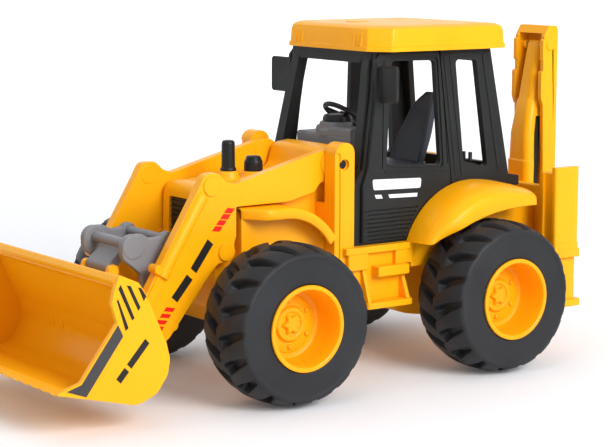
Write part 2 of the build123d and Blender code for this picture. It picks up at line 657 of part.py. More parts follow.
YOKE_SPAN = (17.0, 24.0)
REAR_BAR = (44.0, 88.5)
BAR_R = 2.3
with BuildPart() as tilt_yoke:
    for start in (YOKE_SPAN[1], -YOKE_SPAN[0]):
        with BuildSketch(side_plane(start)):
            with Locations(*sec((65.3, 86.7))):
                Circle(7.2)
            with Locations(*sec(REAR_BAR)):
                Circle(4.6)
            with Locations(*sec(YOKE_PIVOT)):
                Circle(5.6)
            Polygon(*sec((40.8, 85.2), (47.2, 91.8), (52, 86.5), (60, 91.6), (71.6, 83.3),
                         (65.6, 50.3), (54.6, 48.6)), align=None)
        extrude(amount=YOKE_SPAN[1] - YOKE_SPAN[0])
    with BuildSketch(side_plane(YOKE_SPAN[0])):
        with Locations(*sec(REAR_BAR)):
            Circle(BAR_R)
        Polygon(*sec((53.6, 84), (57, 83), (60.5, 58.5), (57.5, 58.5)), align=None)
    extrude(amount=2 * YOKE_SPAN[0])
    with BuildSketch(side_plane(YOKE_SPAN[1])):
        with Locations(*sec(YOKE_PIVOT)):
            Circle(RUN_R)
        with Locations(*sec(LINK_TOP)):
            Circle(BAR_R)
    extrude(amount=2 * YOKE_SPAN[1], mode=Mode.SUBTRACT)
tilt_yoke.part.label = "tilt_yoke"

with BuildPart() as yoke_front_bar:
    with BuildSketch(side_plane(YOKE_SPAN[1])):
        with Locations(*sec(LINK_TOP)):
            Circle(BAR_R)
    extrude(amount=2 * YOKE_SPAN[1])
yoke_front_bar.part.label = "yoke_front_bar"

LINK_HALF = 9.0
with BuildPart() as tilt_link:
    with BuildSketch(side_plane(LINK_HALF)):
        with Locations(*sec(LINK_TOP, LINK_LOW)):
            Circle(4.0)
        Polygon(*sec((62.6, 85), (69.4, 89), (77.4, 75), (70.6, 71)), align=None)
        with Locations(*sec(LINK_TOP)):
            Circle(BAR_R + 0.06, mode=Mode.SUBTRACT)
        with Locations(*sec(LINK_LOW)):
            Circle(2.1, mode=Mode.SUBTRACT)
    extrude(amount=2 * LINK_HALF)
tilt_link.part.label = "tilt_link"

# ---------------------------------------------------------------- rear frame and stabilizers
CASING_IN = 60.0
CASING_OUT = 76.0
CASING_FRONT = -196.0
CASING_REAR = -217.0
CASING_TOP = 117.0
CASING_LOW = 70.0
LEG_GAP = 0.35
with BuildPart() as rear_frame:
    with BuildSketch(front_plane(FRAME_REAR)):
        with Locations((0, (FRAME_LOW + FRAME_TOP) / 2)):
            Rectangle(2 * FRAME_HALF, FRAME_TOP - FRAME_LOW)
        with Locations((0, 63.75)):
            Rectangle(28, 26.5, mode=Mode.SUBTRACT)
    extrude(amount=FRAME_FRONT - FRAME_REAR)
    for y in (FRAME_HALF - 3, -FRAME_HALF):
        with BuildSketch(side_plane(y + 3)):
            Polygon(*sec((-212, 46), (-217, 52), (-217, FRAME_TOP - 2), (-212, FRAME_TOP)),
                    align=None)
        extrude(amount=3)
    for z in (46.0, 79.5):
        with BuildSketch(level(z)):
            with Locations((fx(SWING_X), 0)):
                Circle(8)
            Polygon((fx(FRAME_REAR), 14), (fx(SWING_X), 8), (fx(SWING_X), -8),
                    (fx(FRAME_REAR), -14), align=None)
            with Locations((fx(SWING_X), 0)):
                Circle(SWING_PIN_R, mode=Mode.SUBTRACT)
        extrude(amount=4.5)
rear_frame.part.label = "rear_frame"

with BuildPart() as stabilizer_casing_left:
    with BuildSketch(level(CASING_LOW)):
        with Locations((fx((CASING_FRONT + CASING_REAR) / 2), (CASING_IN + CASING_OUT) / 2)):
            Rectangle(CASING_FRONT - CASING_REAR, CASING_OUT - CASING_IN)
    extrude(amount=CASING_TOP - CASING_LOW)
    fillet(stabilizer_casing_left.edges().filter_by(Axis.Z), radius=1.2)
    with BuildSketch(level(CASING_LOW)):
        with Locations((fx((CASING_FRONT + CASING_REAR) / 2 - 0.5),
                        (CASING_IN + CASING_OUT) / 2)):
            Rectangle(14 + 2 * LEG_GAP, 10 + 2 * LEG_GAP)
    extrude(amount=44, mode=Mode.SUBTRACT)
stabilizer_casing_left.part.label = "stabilizer_casing_left"
stabilizer_casing_right = mirrored(stabilizer_casing_left, "stabilizer_casing_right")

FOOT_LOW = 31.0
with BuildPart() as stabilizer_leg_left:
    with BuildSketch(level(FOOT_LOW)):
        with Locations((fx((CASING_FRONT + CASING_REAR) / 2 - 0.5),
                        (CASING_IN + CASING_OUT) / 2)):
            Rectangle(14, 10)
    extrude(amount=112 - FOOT_LOW)
    with BuildSketch(level(FOOT_LOW)):
        with Locations((fx((CASING_FRONT + CASING_REAR) / 2 - 1.5),
                        (CASING_IN + CASING_OUT) / 2)):
            RectangleRounded(18, 15, 1.5)
    extrude(amount=4.5)
stabilizer_leg_left.part.label = "stabilizer_leg_left"
stabilizer_leg_right = mirrored(stabilizer_leg_left, "stabilizer_leg_right")

# ---------------------------------------------------------------- backhoe
with BuildPart() as swing_pin:
    with BuildSketch(level(46)):
        with Locations((fx(SWING_X), 0)):
            Circle(SWING_PIN_R)
    extrude(amount=38)
swing_pin.part.label = "swing_pin"

CHEEK_SPAN = (10.5, 14.0)
with BuildPart() as kingpost:
    with BuildSketch(level(51)):
        with Locations((fx(SWING_X), 0)):
            Circle(6.4)
    extrude(amount=28)
    with BuildSketch(level(52)):
        Polygon((fx(-223), 5), (fx(-223), 14), (fx(-228), 14), (fx(-228), -14), (fx(-223), -14),
                (fx(-223), -5), align=None)
    extrude(amount=24)
    for start in (CHEEK_SPAN[1], -CHEEK_SPAN[0]):
        with BuildSketch(side_plane(start)) as cheek:
            Polygon(*sec((-223, 52), (-223, 76), (-228, 76), (-243.5, 67), (-243.5, 53.5),
                         (-236, 52)), align=None)
            fillet(cheek.vertices().sort_by(Axis.X)[:2], radius=4)
        extrude(amount=CHEEK_SPAN[1] - CHEEK_SPAN[0])
    with BuildSketch(level(51)):
        with Locations((fx(SWING_X), 0)):
            Circle(SWING_PIN_R + 0.06)
    extrude(amount=28, mode=Mode.SUBTRACT)
    with BuildSketch(side_plane(CHEEK_SPAN[1])):
        with Locations(*sec(BOOM_PIVOT)):
            Circle(SHAFT_R)
    extrude(amount=2 * CHEEK_SPAN[1], mode=Mode.SUBTRACT)
kingpost.part.label = "kingpost"

with BuildPart() as boom_base_pin:
    with BuildSketch(side_plane(CHEEK_SPAN[1])):
        with Locations(*sec(BOOM_PIVOT)):
            Circle(SHAFT_R)
    extrude(amount=2 * CHEEK_SPAN[1])
boom_base_pin.part.label = "boom_base_pin"

with BuildPart() as boom:
    with BuildSketch(side_plane(BOOM_HALF)):
        with Locations(*sec(BOOM_PIVOT)):
            Circle(7)
        Polygon(*sec((-230.2, 60), (-233.5, 78), (-233.5, 130), (-239, 155), (-245, 186),
                     (-251, 186), (-249.6, 170), (-245, 130), (-243.2, 100), (-243.2, 60)),
                align=None)
        with Locations(*sec(DIPPER_PIVOT)):
            Circle(3.6)
    extrude(amount=2 * BOOM_HALF)
    with BuildSketch(front_plane(-256)):
        Polygon((-BOOM_HALF, 50), (-BOOM_HALF, 118), (-5.6, 180), (-5.6, 192), (5.6, 192),
                (5.6, 180), (BOOM_HALF, 118), (BOOM_HALF, 50), align=None)
    extrude(amount=30, mode=Mode.INTERSECT)
    with BuildSketch(side_plane(BOOM_HALF)):
        with Locations(*sec(BOOM_PIVOT)):
            Circle(RUN_R)
        with Locations(*sec(DIPPER_PIVOT)):
            Circle(HOE_PIN_R)
    extrude(amount=2 * BOOM_HALF, mode=Mode.SUBTRACT)
boom.part.label = "boom"

with BuildPart() as boom_top_pin:
    with BuildSketch(side_plane(DIPPER_OUT)):
        with Locations(*sec(DIPPER_PIVOT)):
            Circle(HOE_PIN_R)
    extrude(amount=2 * DIPPER_OUT)
boom_top_pin.part.label = "boom_top_pin"

with BuildPart() as dipper:
    with BuildSketch(side_plane(DIPPER_OUT)):
        Polygon(*sec((-247, 198.5), (-243, 192), (-242.6, 165), (-243.6, 130), (-244.8, 84),
                     (-246, 79.5), (-253, 79.5), (-255, 84), (-255, 196), (-253.5, 198.5)),
                align=None)
    extrude(amount=2 * DIPPER_OUT)
    with BuildSketch(side_plane(DIPPER_IN)):
        Polygon(*sec((-240, 193.5), (-252.3, 193.5), (-252.3, 92), (-257, 88), (-257, 70),
                     (-240, 70)), align=None)
    extrude(amount=2 * DIPPER_IN, mode=Mode.SUBTRACT)
    with BuildSketch(side_plane(DIPPER_OUT)):
        with Locations(*sec(DIPPER_PIVOT)):
            Circle(HOE_RUN_R)
        with Locations(*sec(HOE_PIVOT)):
            Circle(HOE_PIN_R)
    extrude(amount=2 * DIPPER_OUT, mode=Mode.SUBTRACT)
dipper.part.label = "dipper"

with BuildPart() as hoe_bucket_pin:
    with BuildSketch(side_plane(DIPPER_OUT)):
        with Locations(*sec(HOE_PIVOT)):
            Circle(HOE_PIN_R)
    extrude(amount=2 * DIPPER_OUT)
hoe_bucket_pin.part.label = "hoe_bucket_pin"

HOE_HALF = 13.5
HOE_WALL = 2.0
HOE_LUG = (5.5, 9.5)
with BuildPart() as hoe_bucket:
    with BuildSketch(side_plane(HOE_HALF)):
        Polygon(*sec((-247.5, 45), (-252, 38.5), (-261, 36), (-268, 40), (-272, 48), (-271, 62),
                     (-265, 71), (-257, 75.5), (-247.5, 75.5), (-247.5, 71), (-252, 58)),
                align=None)
    extrude(amount=2 * HOE_HALF)
    with BuildSketch(side_plane(HOE_HALF - HOE_WALL)):
        Polygon(*sec((-244, 44), (-248.5, 44.8), (-253, 40.5), (-260.5, 38.2), (-266.3, 41.8),
                     (-269.8, 48.6), (-269, 61), (-263.8, 69.2), (-256.5, 73.3), (-244, 73.3)),
                align=None)
    extrude(amount=2 * (HOE_HALF - HOE_WALL), mode=Mode.SUBTRACT)
    for start in (HOE_LUG[1], -HOE_LUG[0]):
        with BuildSketch(side_plane(start)):
            with Locations(*sec(HOE_PIVOT)):
                Circle(4)
            Polygon(*sec((-245, 84), (-247.5, 74), (-258, 74), (-253, 84)), align=None)
        extrude(amount=HOE_LUG[1] - HOE_LUG[0])
    with BuildSketch(side_plane(HOE_HALF)):
        with Locations(*sec(HOE_PIVOT)):
            Circle(HOE_RUN_R)
    extrude(amount=2 * HOE_HALF, mode=Mode.SUBTRACT)
hoe_bucket.part.label = "hoe_bucket"

ASSEMBLY = (
    chassis_base, platform, hood, grille, exhaust_stack, air_cleaner_cap, tower_left,
    tower_right, tower_pins, front_fender_left, front_fender_right, rear_fender_left,
    rear_fender_right, side_step_left, side_step_right, cab_frame, door_left, door_right, roof,
    mirror_left, mirror_right, dashboard, steering_wheel, seat, lever_console, axle_front,
    axle_rear, rim_front_left, rim_front_right, rim_rear_left, rim_rear_right,
    tyre_front_left, tyre_front_right, tyre_rear_left, tyre_rear_right, loader_arm_left,
    loader_arm_right, arm_cross_tube, bucket_pivot_shaft, yoke_pivot_shaft, loader_bucket,
    bucket_link_pin, tilt_yoke, yoke_front_bar, tilt_link, rear_frame, stabilizer_casing_left,
    stabilizer_casing_right, stabilizer_leg_left, stabilizer_leg_right, swing_pin, kingpost,
    boom_base_pin, boom, boom_top_pin, dipper, hoe_bucket_pin, hoe_bucket,
)
for sub in ASSEMBLY:
    export_step(sub.part, f"parts/{sub.part.label}.step")
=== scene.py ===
import json
import math

import bmesh
import bpy
from mathutils import Matrix, Vector


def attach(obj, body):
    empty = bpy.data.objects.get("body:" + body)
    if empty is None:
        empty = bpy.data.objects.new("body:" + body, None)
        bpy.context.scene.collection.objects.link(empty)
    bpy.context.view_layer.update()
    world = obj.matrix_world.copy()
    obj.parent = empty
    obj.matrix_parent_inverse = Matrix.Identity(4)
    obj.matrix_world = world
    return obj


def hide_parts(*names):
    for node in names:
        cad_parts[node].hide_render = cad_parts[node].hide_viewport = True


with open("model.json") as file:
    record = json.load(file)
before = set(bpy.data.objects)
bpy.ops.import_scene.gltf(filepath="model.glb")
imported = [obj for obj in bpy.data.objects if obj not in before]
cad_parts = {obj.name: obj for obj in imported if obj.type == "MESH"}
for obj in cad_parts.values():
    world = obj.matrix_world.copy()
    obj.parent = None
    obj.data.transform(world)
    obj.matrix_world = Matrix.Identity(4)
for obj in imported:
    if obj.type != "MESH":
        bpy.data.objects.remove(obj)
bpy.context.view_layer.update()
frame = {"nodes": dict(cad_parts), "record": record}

# Toy backhoe loader. Shapes are written in millimetres, with X counted from the front axle line
# (+X towards the loader bucket), Y from the middle of the vehicle and Z from the ground.
MM = 0.001
FRONT_AXLE_X = 62.5
REAR_AXLE = -150.0
AXLE_Z = 45.0
SIDES = (("left", 1), ("right", -1))


def place(x, y, z):
    """A point given in vehicle millimetres, in the row frame."""
    return Vector(((x + FRONT_AXLE_X) * MM, y * MM, z * MM))


# ---------- materials
def new_material(name):
    m = bpy.data.materials.new(name)
    m.use_nodes = True
    tree = m.node_tree
    tree.nodes.clear()
    out = tree.nodes.new("ShaderNodeOutputMaterial")
    shader = tree.nodes.new("ShaderNodeBsdfPrincipled")
    tree.links.new(shader.outputs["BSDF"], out.inputs["Surface"])
    return m, tree, shader


def noise(tree, scale, detail):
    coords = tree.nodes.new("ShaderNodeTexCoord")
    n = tree.nodes.new("ShaderNodeTexNoise")
    n.inputs["Scale"].default_value = scale
    n.inputs["Detail"].default_value = detail
    n.inputs["Roughness"].default_value = 0.55
    tree.links.new(coords.outputs["Object"], n.inputs["Vector"])
    return n


def ramp(tree, source, stops):
    """Colour ramp with two stops, each a position and a colour."""
    r = tree.nodes.new("ShaderNodeValToRGB")
    for el, (pos, col) in zip(r.color_ramp.elements, stops):
        el.position = pos
        el.color = (*col, 1.0)
    tree.links.new(source, r.inputs["Fac"])
    return r


def bump(tree, height, strength, depth, under=None):
    """Bump from a noise, on top of the bump under it where there is one."""
    node = tree.nodes.new("ShaderNodeBump")
    node.inputs["Strength"].default_value = strength
    node.inputs["Distance"].default_value = depth
    tree.links.new(height.outputs["Fac"], node.inputs["Height"])
    if under:
        tree.links.new(under.outputs["Normal"], node.inputs["Normal"])
    return node


def spread(tree, source, from_range, to_range):
    """Maps one range of values onto another."""
    node = tree.nodes.new("ShaderNodeMapRange")
    node.inputs["From Min"].default_value, node.inputs["From Max"].default_value = from_range
    node.inputs["To Min"].default_value, node.inputs["To Max"].default_value = to_range
    tree.links.new(source, node.inputs["Value"])
    return node


CLOUD_RANGE = (0.3, 0.7)
SINK_SCALE = 60.0
SINK_DEPTH = 0.0002


def moulded(name, low, high, rough=(0.3, 0.4), patch=22.0, grain=1400.0, grain_depth=0.00004, coat=0.0):
    """Moulded plastic: cloudy colour, uneven gloss, slow sink marks and a fine surface grain."""
    m, tree, shader = new_material(name)
    cloud = noise(tree, patch, 4.0)
    colour = ramp(tree, cloud.outputs["Fac"], zip(CLOUD_RANGE, (low, high)))
    tree.links.new(colour.outputs["Color"], shader.inputs["Base Color"])
    gloss = noise(tree, patch * 2.3, 5.0)
    shine = spread(tree, gloss.outputs["Fac"], CLOUD_RANGE, rough)
    tree.links.new(shine.outputs["Result"], shader.inputs["Roughness"])
    slow = bump(tree, noise(tree, SINK_SCALE, 2.0), 0.6, SINK_DEPTH)
    fine = bump(tree, noise(tree, grain, 2.0), 0.5, grain_depth, slow)
    tree.links.new(fine.outputs["Normal"], shader.inputs["Normal"])
    shader.inputs["Specular IOR Level"].default_value = 0.22
    if coat:
        shader.inputs["Coat Weight"].default_value = coat
        shader.inputs["Coat Roughness"].default_value = 0.2
    return m


YELLOW = moulded("yellow_plastic", (0.93, 0.385, 0.002), (0.97, 0.425, 0.004), coat=0.03)
YELLOW_LOADER = moulded("yellow_loader", (0.93, 0.395, 0.002), (0.98, 0.435, 0.004), patch=15.0, coat=0.03)
YELLOW_DIGGER = moulded("yellow_digger", (0.93, 0.385, 0.002), (0.97, 0.425, 0.004), patch=18.0, coat=0.03)
YELLOW_RIM = moulded("yellow_rim", (0.93, 0.355, 0.002), (0.97, 0.39, 0.003), patch=30.0, coat=0.03)
CHARCOAL = moulded("charcoal_plastic", (0.0125, 0.013, 0.0125), (0.019, 0.020, 0.019), rough=(0.38, 0.5),
                   grain_depth=0.00006)
BLACK = moulded("black_plastic", (0.010, 0.010, 0.011), (0.018, 0.018, 0.019), rough=(0.28, 0.4))
SLATE = moulded("slate_seat", (0.040, 0.046, 0.058), (0.055, 0.062, 0.076), rough=(0.35, 0.5))
DASH = moulded("dash_grey", (0.15, 0.155, 0.16), (0.18, 0.187, 0.192), rough=(0.4, 0.55))
GREY = moulded("yoke_grey", (0.20, 0.205, 0.22), (0.24, 0.247, 0.265), rough=(0.38, 0.5))
RUBBER = moulded("tyre_rubber", (0.018, 0.0185, 0.020), (0.027, 0.028, 0.031), rough=(0.42, 0.56),
                 grain=900.0, grain_depth=0.00008)
STEEL = moulded("pin_steel", (0.28, 0.28, 0.29), (0.36, 0.36, 0.37), rough=(0.3, 0.42))
STEEL.node_tree.nodes["Principled BSDF"].inputs["Metallic"].default_value = 1.0
SLOT_LOOKS = {"body_yellow": YELLOW, "loader_yellow": YELLOW_LOADER, "backhoe_yellow": YELLOW_DIGGER,
              "rim_yellow": YELLOW_RIM, "cab_charcoal": CHARCOAL, "trim_black": BLACK,
              "seat_slate": SLATE, "dash_grey": DASH, "yoke_grey": GREY, "tyre_rubber": RUBBER,
              "pin_steel": STEEL}


def round_edges(obj, width, segments, angle):
    """Bevel on every edge sharper than angle, in degrees."""
    bevel = obj.modifiers.new("round", "BEVEL")
    bevel.width = width
    bevel.segments = segments
    bevel.limit_method = "ANGLE"
    bevel.angle_limit = math.radians(angle)
    bevel.harden_normals = True


def new_object(name, data):
    obj = bpy.data.objects.new(name, data)
    bpy.context.scene.collection.objects.link(obj)
    return obj


def mesh_from(name, bm):
    """Mesh of a bmesh, with its faces turned outwards. The bmesh is used up."""
    bmesh.ops.recalc_face_normals(bm, faces=bm.faces)
    mesh = bpy.data.meshes.new(name)
    bm.to_mesh(mesh)
    bm.free()
    return mesh


# ---------- carried-over CAD nodes
node_slot = {s["node"]: s["material_slot"] for s in frame["record"]["subparts"]}
for node, obj in frame["nodes"].items():
    obj.data.materials.clear()
    obj.data.materials.append(SLOT_LOOKS[node_slot[node]])
    weld = obj.modifiers.new("weld", "WELD")
    weld.merge_threshold = 0.00001
    round_edges(obj, 0.0006, 2, 40)


# ---------- mesh helpers
STRAIGHT = math.radians(176)
EDGE_SHARE = 0.49


def rounded(points, steps=5):
    """Closed outline whose corners (u, v, radius) become arcs. A corner without a radius stays sharp."""
    out = []
    count = len(points)
    for i, corner in enumerate(points):
        p = Vector(corner[:2])
        r = corner[2] if len(corner) > 2 else 0.0
        a = Vector(points[i - 1][:2]) - p
        b = Vector(points[(i + 1) % count][:2]) - p
        angle = a.angle(b)
        if r <= 0 or angle > STRAIGHT:
            out.append(tuple(p))
            continue
        reach = min(r / math.tan(angle / 2), EDGE_SHARE * a.length, EDGE_SHARE * b.length)
        radius = reach * math.tan(angle / 2)
        centre = p + (a.normalized() + b.normalized()).normalized() * (radius / math.sin(angle / 2))
        start = p + a.normalized() * reach - centre
        end = p + b.normalized() * reach - centre
        for k in range(steps + 1):
            spoke = start.lerp(end, k / steps)
            out.append(tuple(centre + spoke.normalized() * radius))
    return out


def turns(count):
    """Evenly spaced angles round a circle."""
    return [2 * math.pi * k / count for k in range(count)]


def ring(centre, radius, count=40):
    """Circle as a closed outline."""
    return [(centre[0] + radius * math.cos(a), centre[1] + radius * math.sin(a)) for a in turns(count)]


def rect(u0, u1, v0, v1, low_r=0.0, high_r=0.0):
    """Rectangle outline. low_r rounds the corners at v0 and high_r those at v1."""
    corners = [(u0, v0, low_r), (u0, v1, high_r), (u1, v1, high_r), (u1, v0, low_r)]
    return rounded(corners) if low_r or high_r else [(u, v) for u, v, _ in corners]


def side_point(u, v, w):
    return place(u, w, v)


def front_point(u, v, w):
    return place(w, u, v)


def level_point(u, v, w):
    return place(u, v, w)


def loft(bm, rows, closed=False, far_cap=True):
    """Closed outlines joined into a tube of quads: with flat ends, or as a ring that closes on itself."""
    made = [[bm.verts.new(p) for p in row] for row in rows]
    for low, high in zip(made, made[1:] + (made[:1] if closed else [])):
        n = len(low)
        for k in range(n):
            bm.faces.new((low[k], low[(k + 1) % n], high[(k + 1) % n], high[k]))
    if not closed:
        bm.faces.new(list(reversed(made[0])))
        if far_cap:
            bm.faces.new(made[-1])


def level_row(outline, z):
    return [level_point(u, v, z) for u, v in outline]


def slab(bm, outline, low, high, to_point=side_point):
    """A flat outline given a thickness, from low to high along the third direction."""
    loft(bm, [[to_point(u, v, w) for u, v in outline] for w in (low, high)])


def side_slab(bm, outline, sign, low, high):
    """An upright slab on one side of the machine, from low to high out from the middle."""
    slab(bm, outline, *sorted((sign * low, sign * high)))


def level_slab(bm, outline, sign, low, high):
    """A lying slab from height low to high, its outline (x, y) carried to one side of the machine."""
    slab(bm, [(u, sign * v) for u, v in outline], low, high, level_point)


def tube(bm, path, radius, count=20):
    """Round bar through points in vehicle millimetres. radius is one number or one per point."""
    radii = radius if isinstance(radius, (list, tuple)) else [radius] * len(path)
    rows = []
    side = None
    for i, p in enumerate(path):
        before = Vector(path[max(i - 1, 0)])
        after = Vector(path[min(i + 1, len(path) - 1)])
        along = (after - before).normalized()
        if side is None:
            side = along.orthogonal().normalized()
        side = (side - along * side.dot(along)).normalized()
        other = along.cross(side)
        rows.append([place(*(Vector(p) + radii[i] * (math.cos(a) * side + math.sin(a) * other)))
                     for a in turns(count)])
    loft(bm, rows)


def lathe(bm, profile, centre, axis="Y", count=96, sign=1, closed=False):
    """Profile points (radius, distance along the axis) turned about an axis line."""
    cx, cy, cz = centre
    rows = []
    for r, d in profile:
        along = sign * d
        row = []
        for a in turns(count):
            u, v = r * math.cos(a), r * math.sin(a)
            dx, dy, dz = {"X": (along, u, v), "Y": (u, along, v), "Z": (u, v, along)}[axis]
            row.append(place(cx + dx, cy + dy, cz + dz))
        rows.append(row)
    loft(bm, rows, closed)


def piece(name, bm, body, material, replaces=(), round_by=0.5, segments=3, angle=32.0, slot=None):
    """Turns a bmesh into a finished piece that rides on a body."""
    mesh = mesh_from(name, bm)
    mesh.shade_smooth()
    obj = new_object(name, mesh)
    mesh.materials.append(material)
    if round_by:
        round_edges(obj, round_by * MM, segments, angle)
    else:
        mesh.set_sharp_from_angle(angle=math.radians(angle))
    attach(obj, body)
    if replaces:
        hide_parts(*replaces)
    slot = slot or next((s for s, plastic in SLOT_LOOKS.items() if plastic == material), None)


def look(node, bm, body, material, **finish):
    """The finished piece that takes the place of one CAD node."""
    piece(f"{node}_look", bm, body, material, (node,), **finish)


SAME_POINT = 0.000005
FLAT = math.radians(0.6)


def merged(name, solids, op="UNION"):
    """One bmesh from several: the first with the others joined on, or cut out of it."""
    objs = [new_object(f"{name}_{i}", mesh_from(f"{name}_{i}", bm)) for i, bm in enumerate(solids)]
    first = objs[0]
    for other in objs[1:]:
        mod = first.modifiers.new("join", "BOOLEAN")
        mod.operation = op
        mod.solver = "EXACT"
        mod.object = other
    bpy.context.view_layer.update()
    result = bpy.data.meshes.new_from_object(
        first.evaluated_get(bpy.context.evaluated_depsgraph_get()))
    out = bmesh.new()
    out.from_mesh(result)
    bmesh.ops.remove_doubles(out, verts=out.verts, dist=SAME_POINT)
    bmesh.ops.dissolve_limit(out, angle_limit=FLAT, verts=out.verts, edges=out.edges)
    for o in objs:
        bpy.data.meshes.remove(o.data)
    bpy.data.meshes.remove(result)
    return out


def carved(name, joined, cuts):
    """The joined solids with the cuts taken out of them."""
    return merged(name, [merged(name, joined), *cuts], "DIFFERENCE")


def blank():
    return bmesh.new()


def solid(outline, low, high, to_point=side_point):
    bm = blank()
    slab(bm, outline, low, high, to_point)
    return bm


def side_solid(outline, sign, low, high):
    bm = blank()
    side_slab(bm, outline, sign, low, high)
    return bm


def level_solid(outline, sign, low, high):
    bm = blank()
    level_slab(bm, outline, sign, low, high)
    return bm


def both(make):
    """Runs make(name, sign) for the left and the right side."""
    for name, sign in SIDES:
        make(name, sign)


# ---------- wheels
TYRE_R = 45.0
TYRE_IN, TYRE_OUT = 54.0, 94.0
TYRE_MIDDLE = 74.0
GROOVE_R = 39.8
SHOULDER_R = 40.7
LUGS = 18
TYRE_TURNS = LUGS * 26
TREAD_STATIONS = 39
TREAD_INSET = 0.9


def step(edge0, edge1, x):
    t = min(max((x - edge0) / (edge1 - edge0), 0), 1)
    return t * t * (3 - 2 * t)


def lug_cover(turn, y):
    """1 on a tread lug and 0 between lugs. turn counts lug pitches round the tyre."""
    cover = 0.0
    for low, high, lead, sweep in ((71, 96, 0, 1), (52, 77, 0.5, -1)):
        across = (y - TYRE_MIDDLE) * sweep / 20.0
        centre = lead + 0.62 * max(across, -0.15) ** 0.75 if across > 0 else lead + 0.62 * across
        half = 0.27 + 0.10 * step(0.1, 0.9, across)
        off = (turn - centre + 0.5) % 1.0 - 0.5
        body = 1.0 - step(half - 0.045, half + 0.045, abs(off))
        span = step(low, low + 1.2, y) * (1.0 - step(high - 1.2, high, y))
        cover = max(cover, body * span)
    return cover


def tread_radius(y, cover):
    """Radius of the tread at distance y: flat in the middle and falling to a ring at each shoulder."""
    across = abs(y - TYRE_MIDDLE)
    top = TYRE_R - 0.2 - 3.5 * max((across - 5) / 14, 0) ** 1.7
    low = GROOVE_R + (SHOULDER_R - GROOVE_R) * step(15.4, 17.2, across)
    return low + (top - low) * cover


def tyre(node, body, axle_x, sign):
    bm = blank()
    first = TYRE_IN + TREAD_INSET
    last = TYRE_OUT - TREAD_INSET
    tread = [first + (last - first) * k / (TREAD_STATIONS - 1) for k in range(TREAD_STATIONS)]
    stations = [(23.2, TYRE_IN, 0), (30, TYRE_IN, 0), (38.6, TYRE_IN + 0.1, 0), (39.8, TYRE_IN + 0.4, 0)]
    stations += [(None, y, 1) for y in tread]
    stations += [(40.3, TYRE_OUT - 0.35, 0), (39.7, TYRE_OUT - 0.05, 0), (38.9, TYRE_OUT, 0),
                 (38.5, TYRE_OUT - 0.25, 0), (36, TYRE_OUT - 0.3, 0), (30, TYRE_OUT - 0.2, 0),
                 (25.2, TYRE_OUT - 0.2, 0), (24, TYRE_OUT - 0.6, 0), (23.4, TYRE_OUT - 2, 0),
                 (22.4, 80, 0), (22.4, 66, 0)]
    rows = []
    for r, y, on_tread in stations:
        row = []
        for k, a in enumerate(turns(TYRE_TURNS)):
            radius = tread_radius(y, lug_cover(k / TYRE_TURNS * LUGS, y)) if on_tread else r
            row.append(place(axle_x + radius * math.cos(a), sign * y, AXLE_Z + radius * math.sin(a)))
        rows.append(row)
    loft(bm, rows, closed=True)
    look(node, bm, body, RUBBER, round_by=0, angle=50)


BOLTS = 6
BOLT_CIRCLE = 12.9
PETALS = 6
PETAL_R, PETAL_DEPTH = 4.9, 0.9


def rim(node, body, axle_x, sign):
    bm = blank()
    profile = [(2.5, 56), (20.2, 56), (22, 56.6), (22, 91.5), (22.3, 92.6), (23.3, 93),
               (23.9, 93.6), (23.9, 94.6), (23.4, 95), (22, 95), (21.4, 94.6), (21, 93.4),
               (20.4, 86), (19.6, 78.6), (18.9, 77.2), (17.6, 76.6), (16.2, 76.5), (15.9, 76.9),
               (15.4, 77.1), (10.4, 77.1), (9.9, 77.4), (9.5, 78.6), (8.9, 79.1), (7.4, 79.2),
               (6.8, 78.9), (6.4, 78.3), (2.5, 78.3)]
    lathe(bm, profile, (axle_x, 0, AXLE_Z), sign=sign, closed=True)
    for k in range(BOLTS):
        a = 2 * math.pi * (k + 0.5) / BOLTS
        centre = (axle_x + BOLT_CIRCLE * math.cos(a), 0, AXLE_Z + BOLT_CIRCLE * math.sin(a))
        lathe(bm, [(1.5, 76.8), (1.5, 77.7), (1.2, 78.2), (0.6, 78.5), (0.1, 78.55)], centre,
              count=16, sign=sign)
    petals = [(PETAL_R + PETAL_DEPTH * math.cos(PETALS * a), a) for a in turns(72)]
    rows = []
    for d, shrink in ((77.9, 1), (79.2, 1), (79.7, 0.93), (80.3, 0.8), (80.5, 0.34)):
        rows.append([place(axle_x + r * shrink * math.cos(a), sign * d, AXLE_Z + r * shrink * math.sin(a))
                     for r, a in petals])
    loft(bm, rows)
    look(node, bm, body, YELLOW_RIM, round_by=0.15, segments=2, angle=28)


for end, axle_x in (("front", 0), ("rear", REAR_AXLE)):
    for side, sign in SIDES:
        tyre(f"tyre_{end}_{side}", f"{end}_wheels", axle_x, sign)
        rim(f"rim_{end}_{side}", f"{end}_wheels", axle_x, sign)

# ---------- loader bucket
BUCKET_OUT = 80.0
PLATE = 3.0
LINK_LOW = (74, 73)
LIP_TEETH = 16
PLATE_EDGE = rounded([(146.6, 25.7, 0.6), (131.6, 30.1, 3), (109.9, 58.4, 1.2), (113.1, 68.7, 2),
                      (111.5, 75.8, 1.5), (108.3, 83.3, 1.2), (97, 78.2, 3), (93.4, 73, 3),
                      (80.6, 45, 6), (78.4, 36, 8), (80, 27.5, 9), (86.5, 18.5, 9),
                      (98.4, 13.8, 12)], steps=7)
PIVOT_LUG = rounded([(62.5, 33, 3.5), (62.5, 40, 3.5), (68, 43.4, 3.5), (86, 53), (83, 33), (71, 29.6, 3)])
LINK_LUG = rounded([(70.8, 72, 3), (71.2, 75.9, 2.6), (76.6, 75.9, 2.6), (78.4, 70, 3), (89.6, 61),
                    (84.6, 50), (74, 65, 4)])


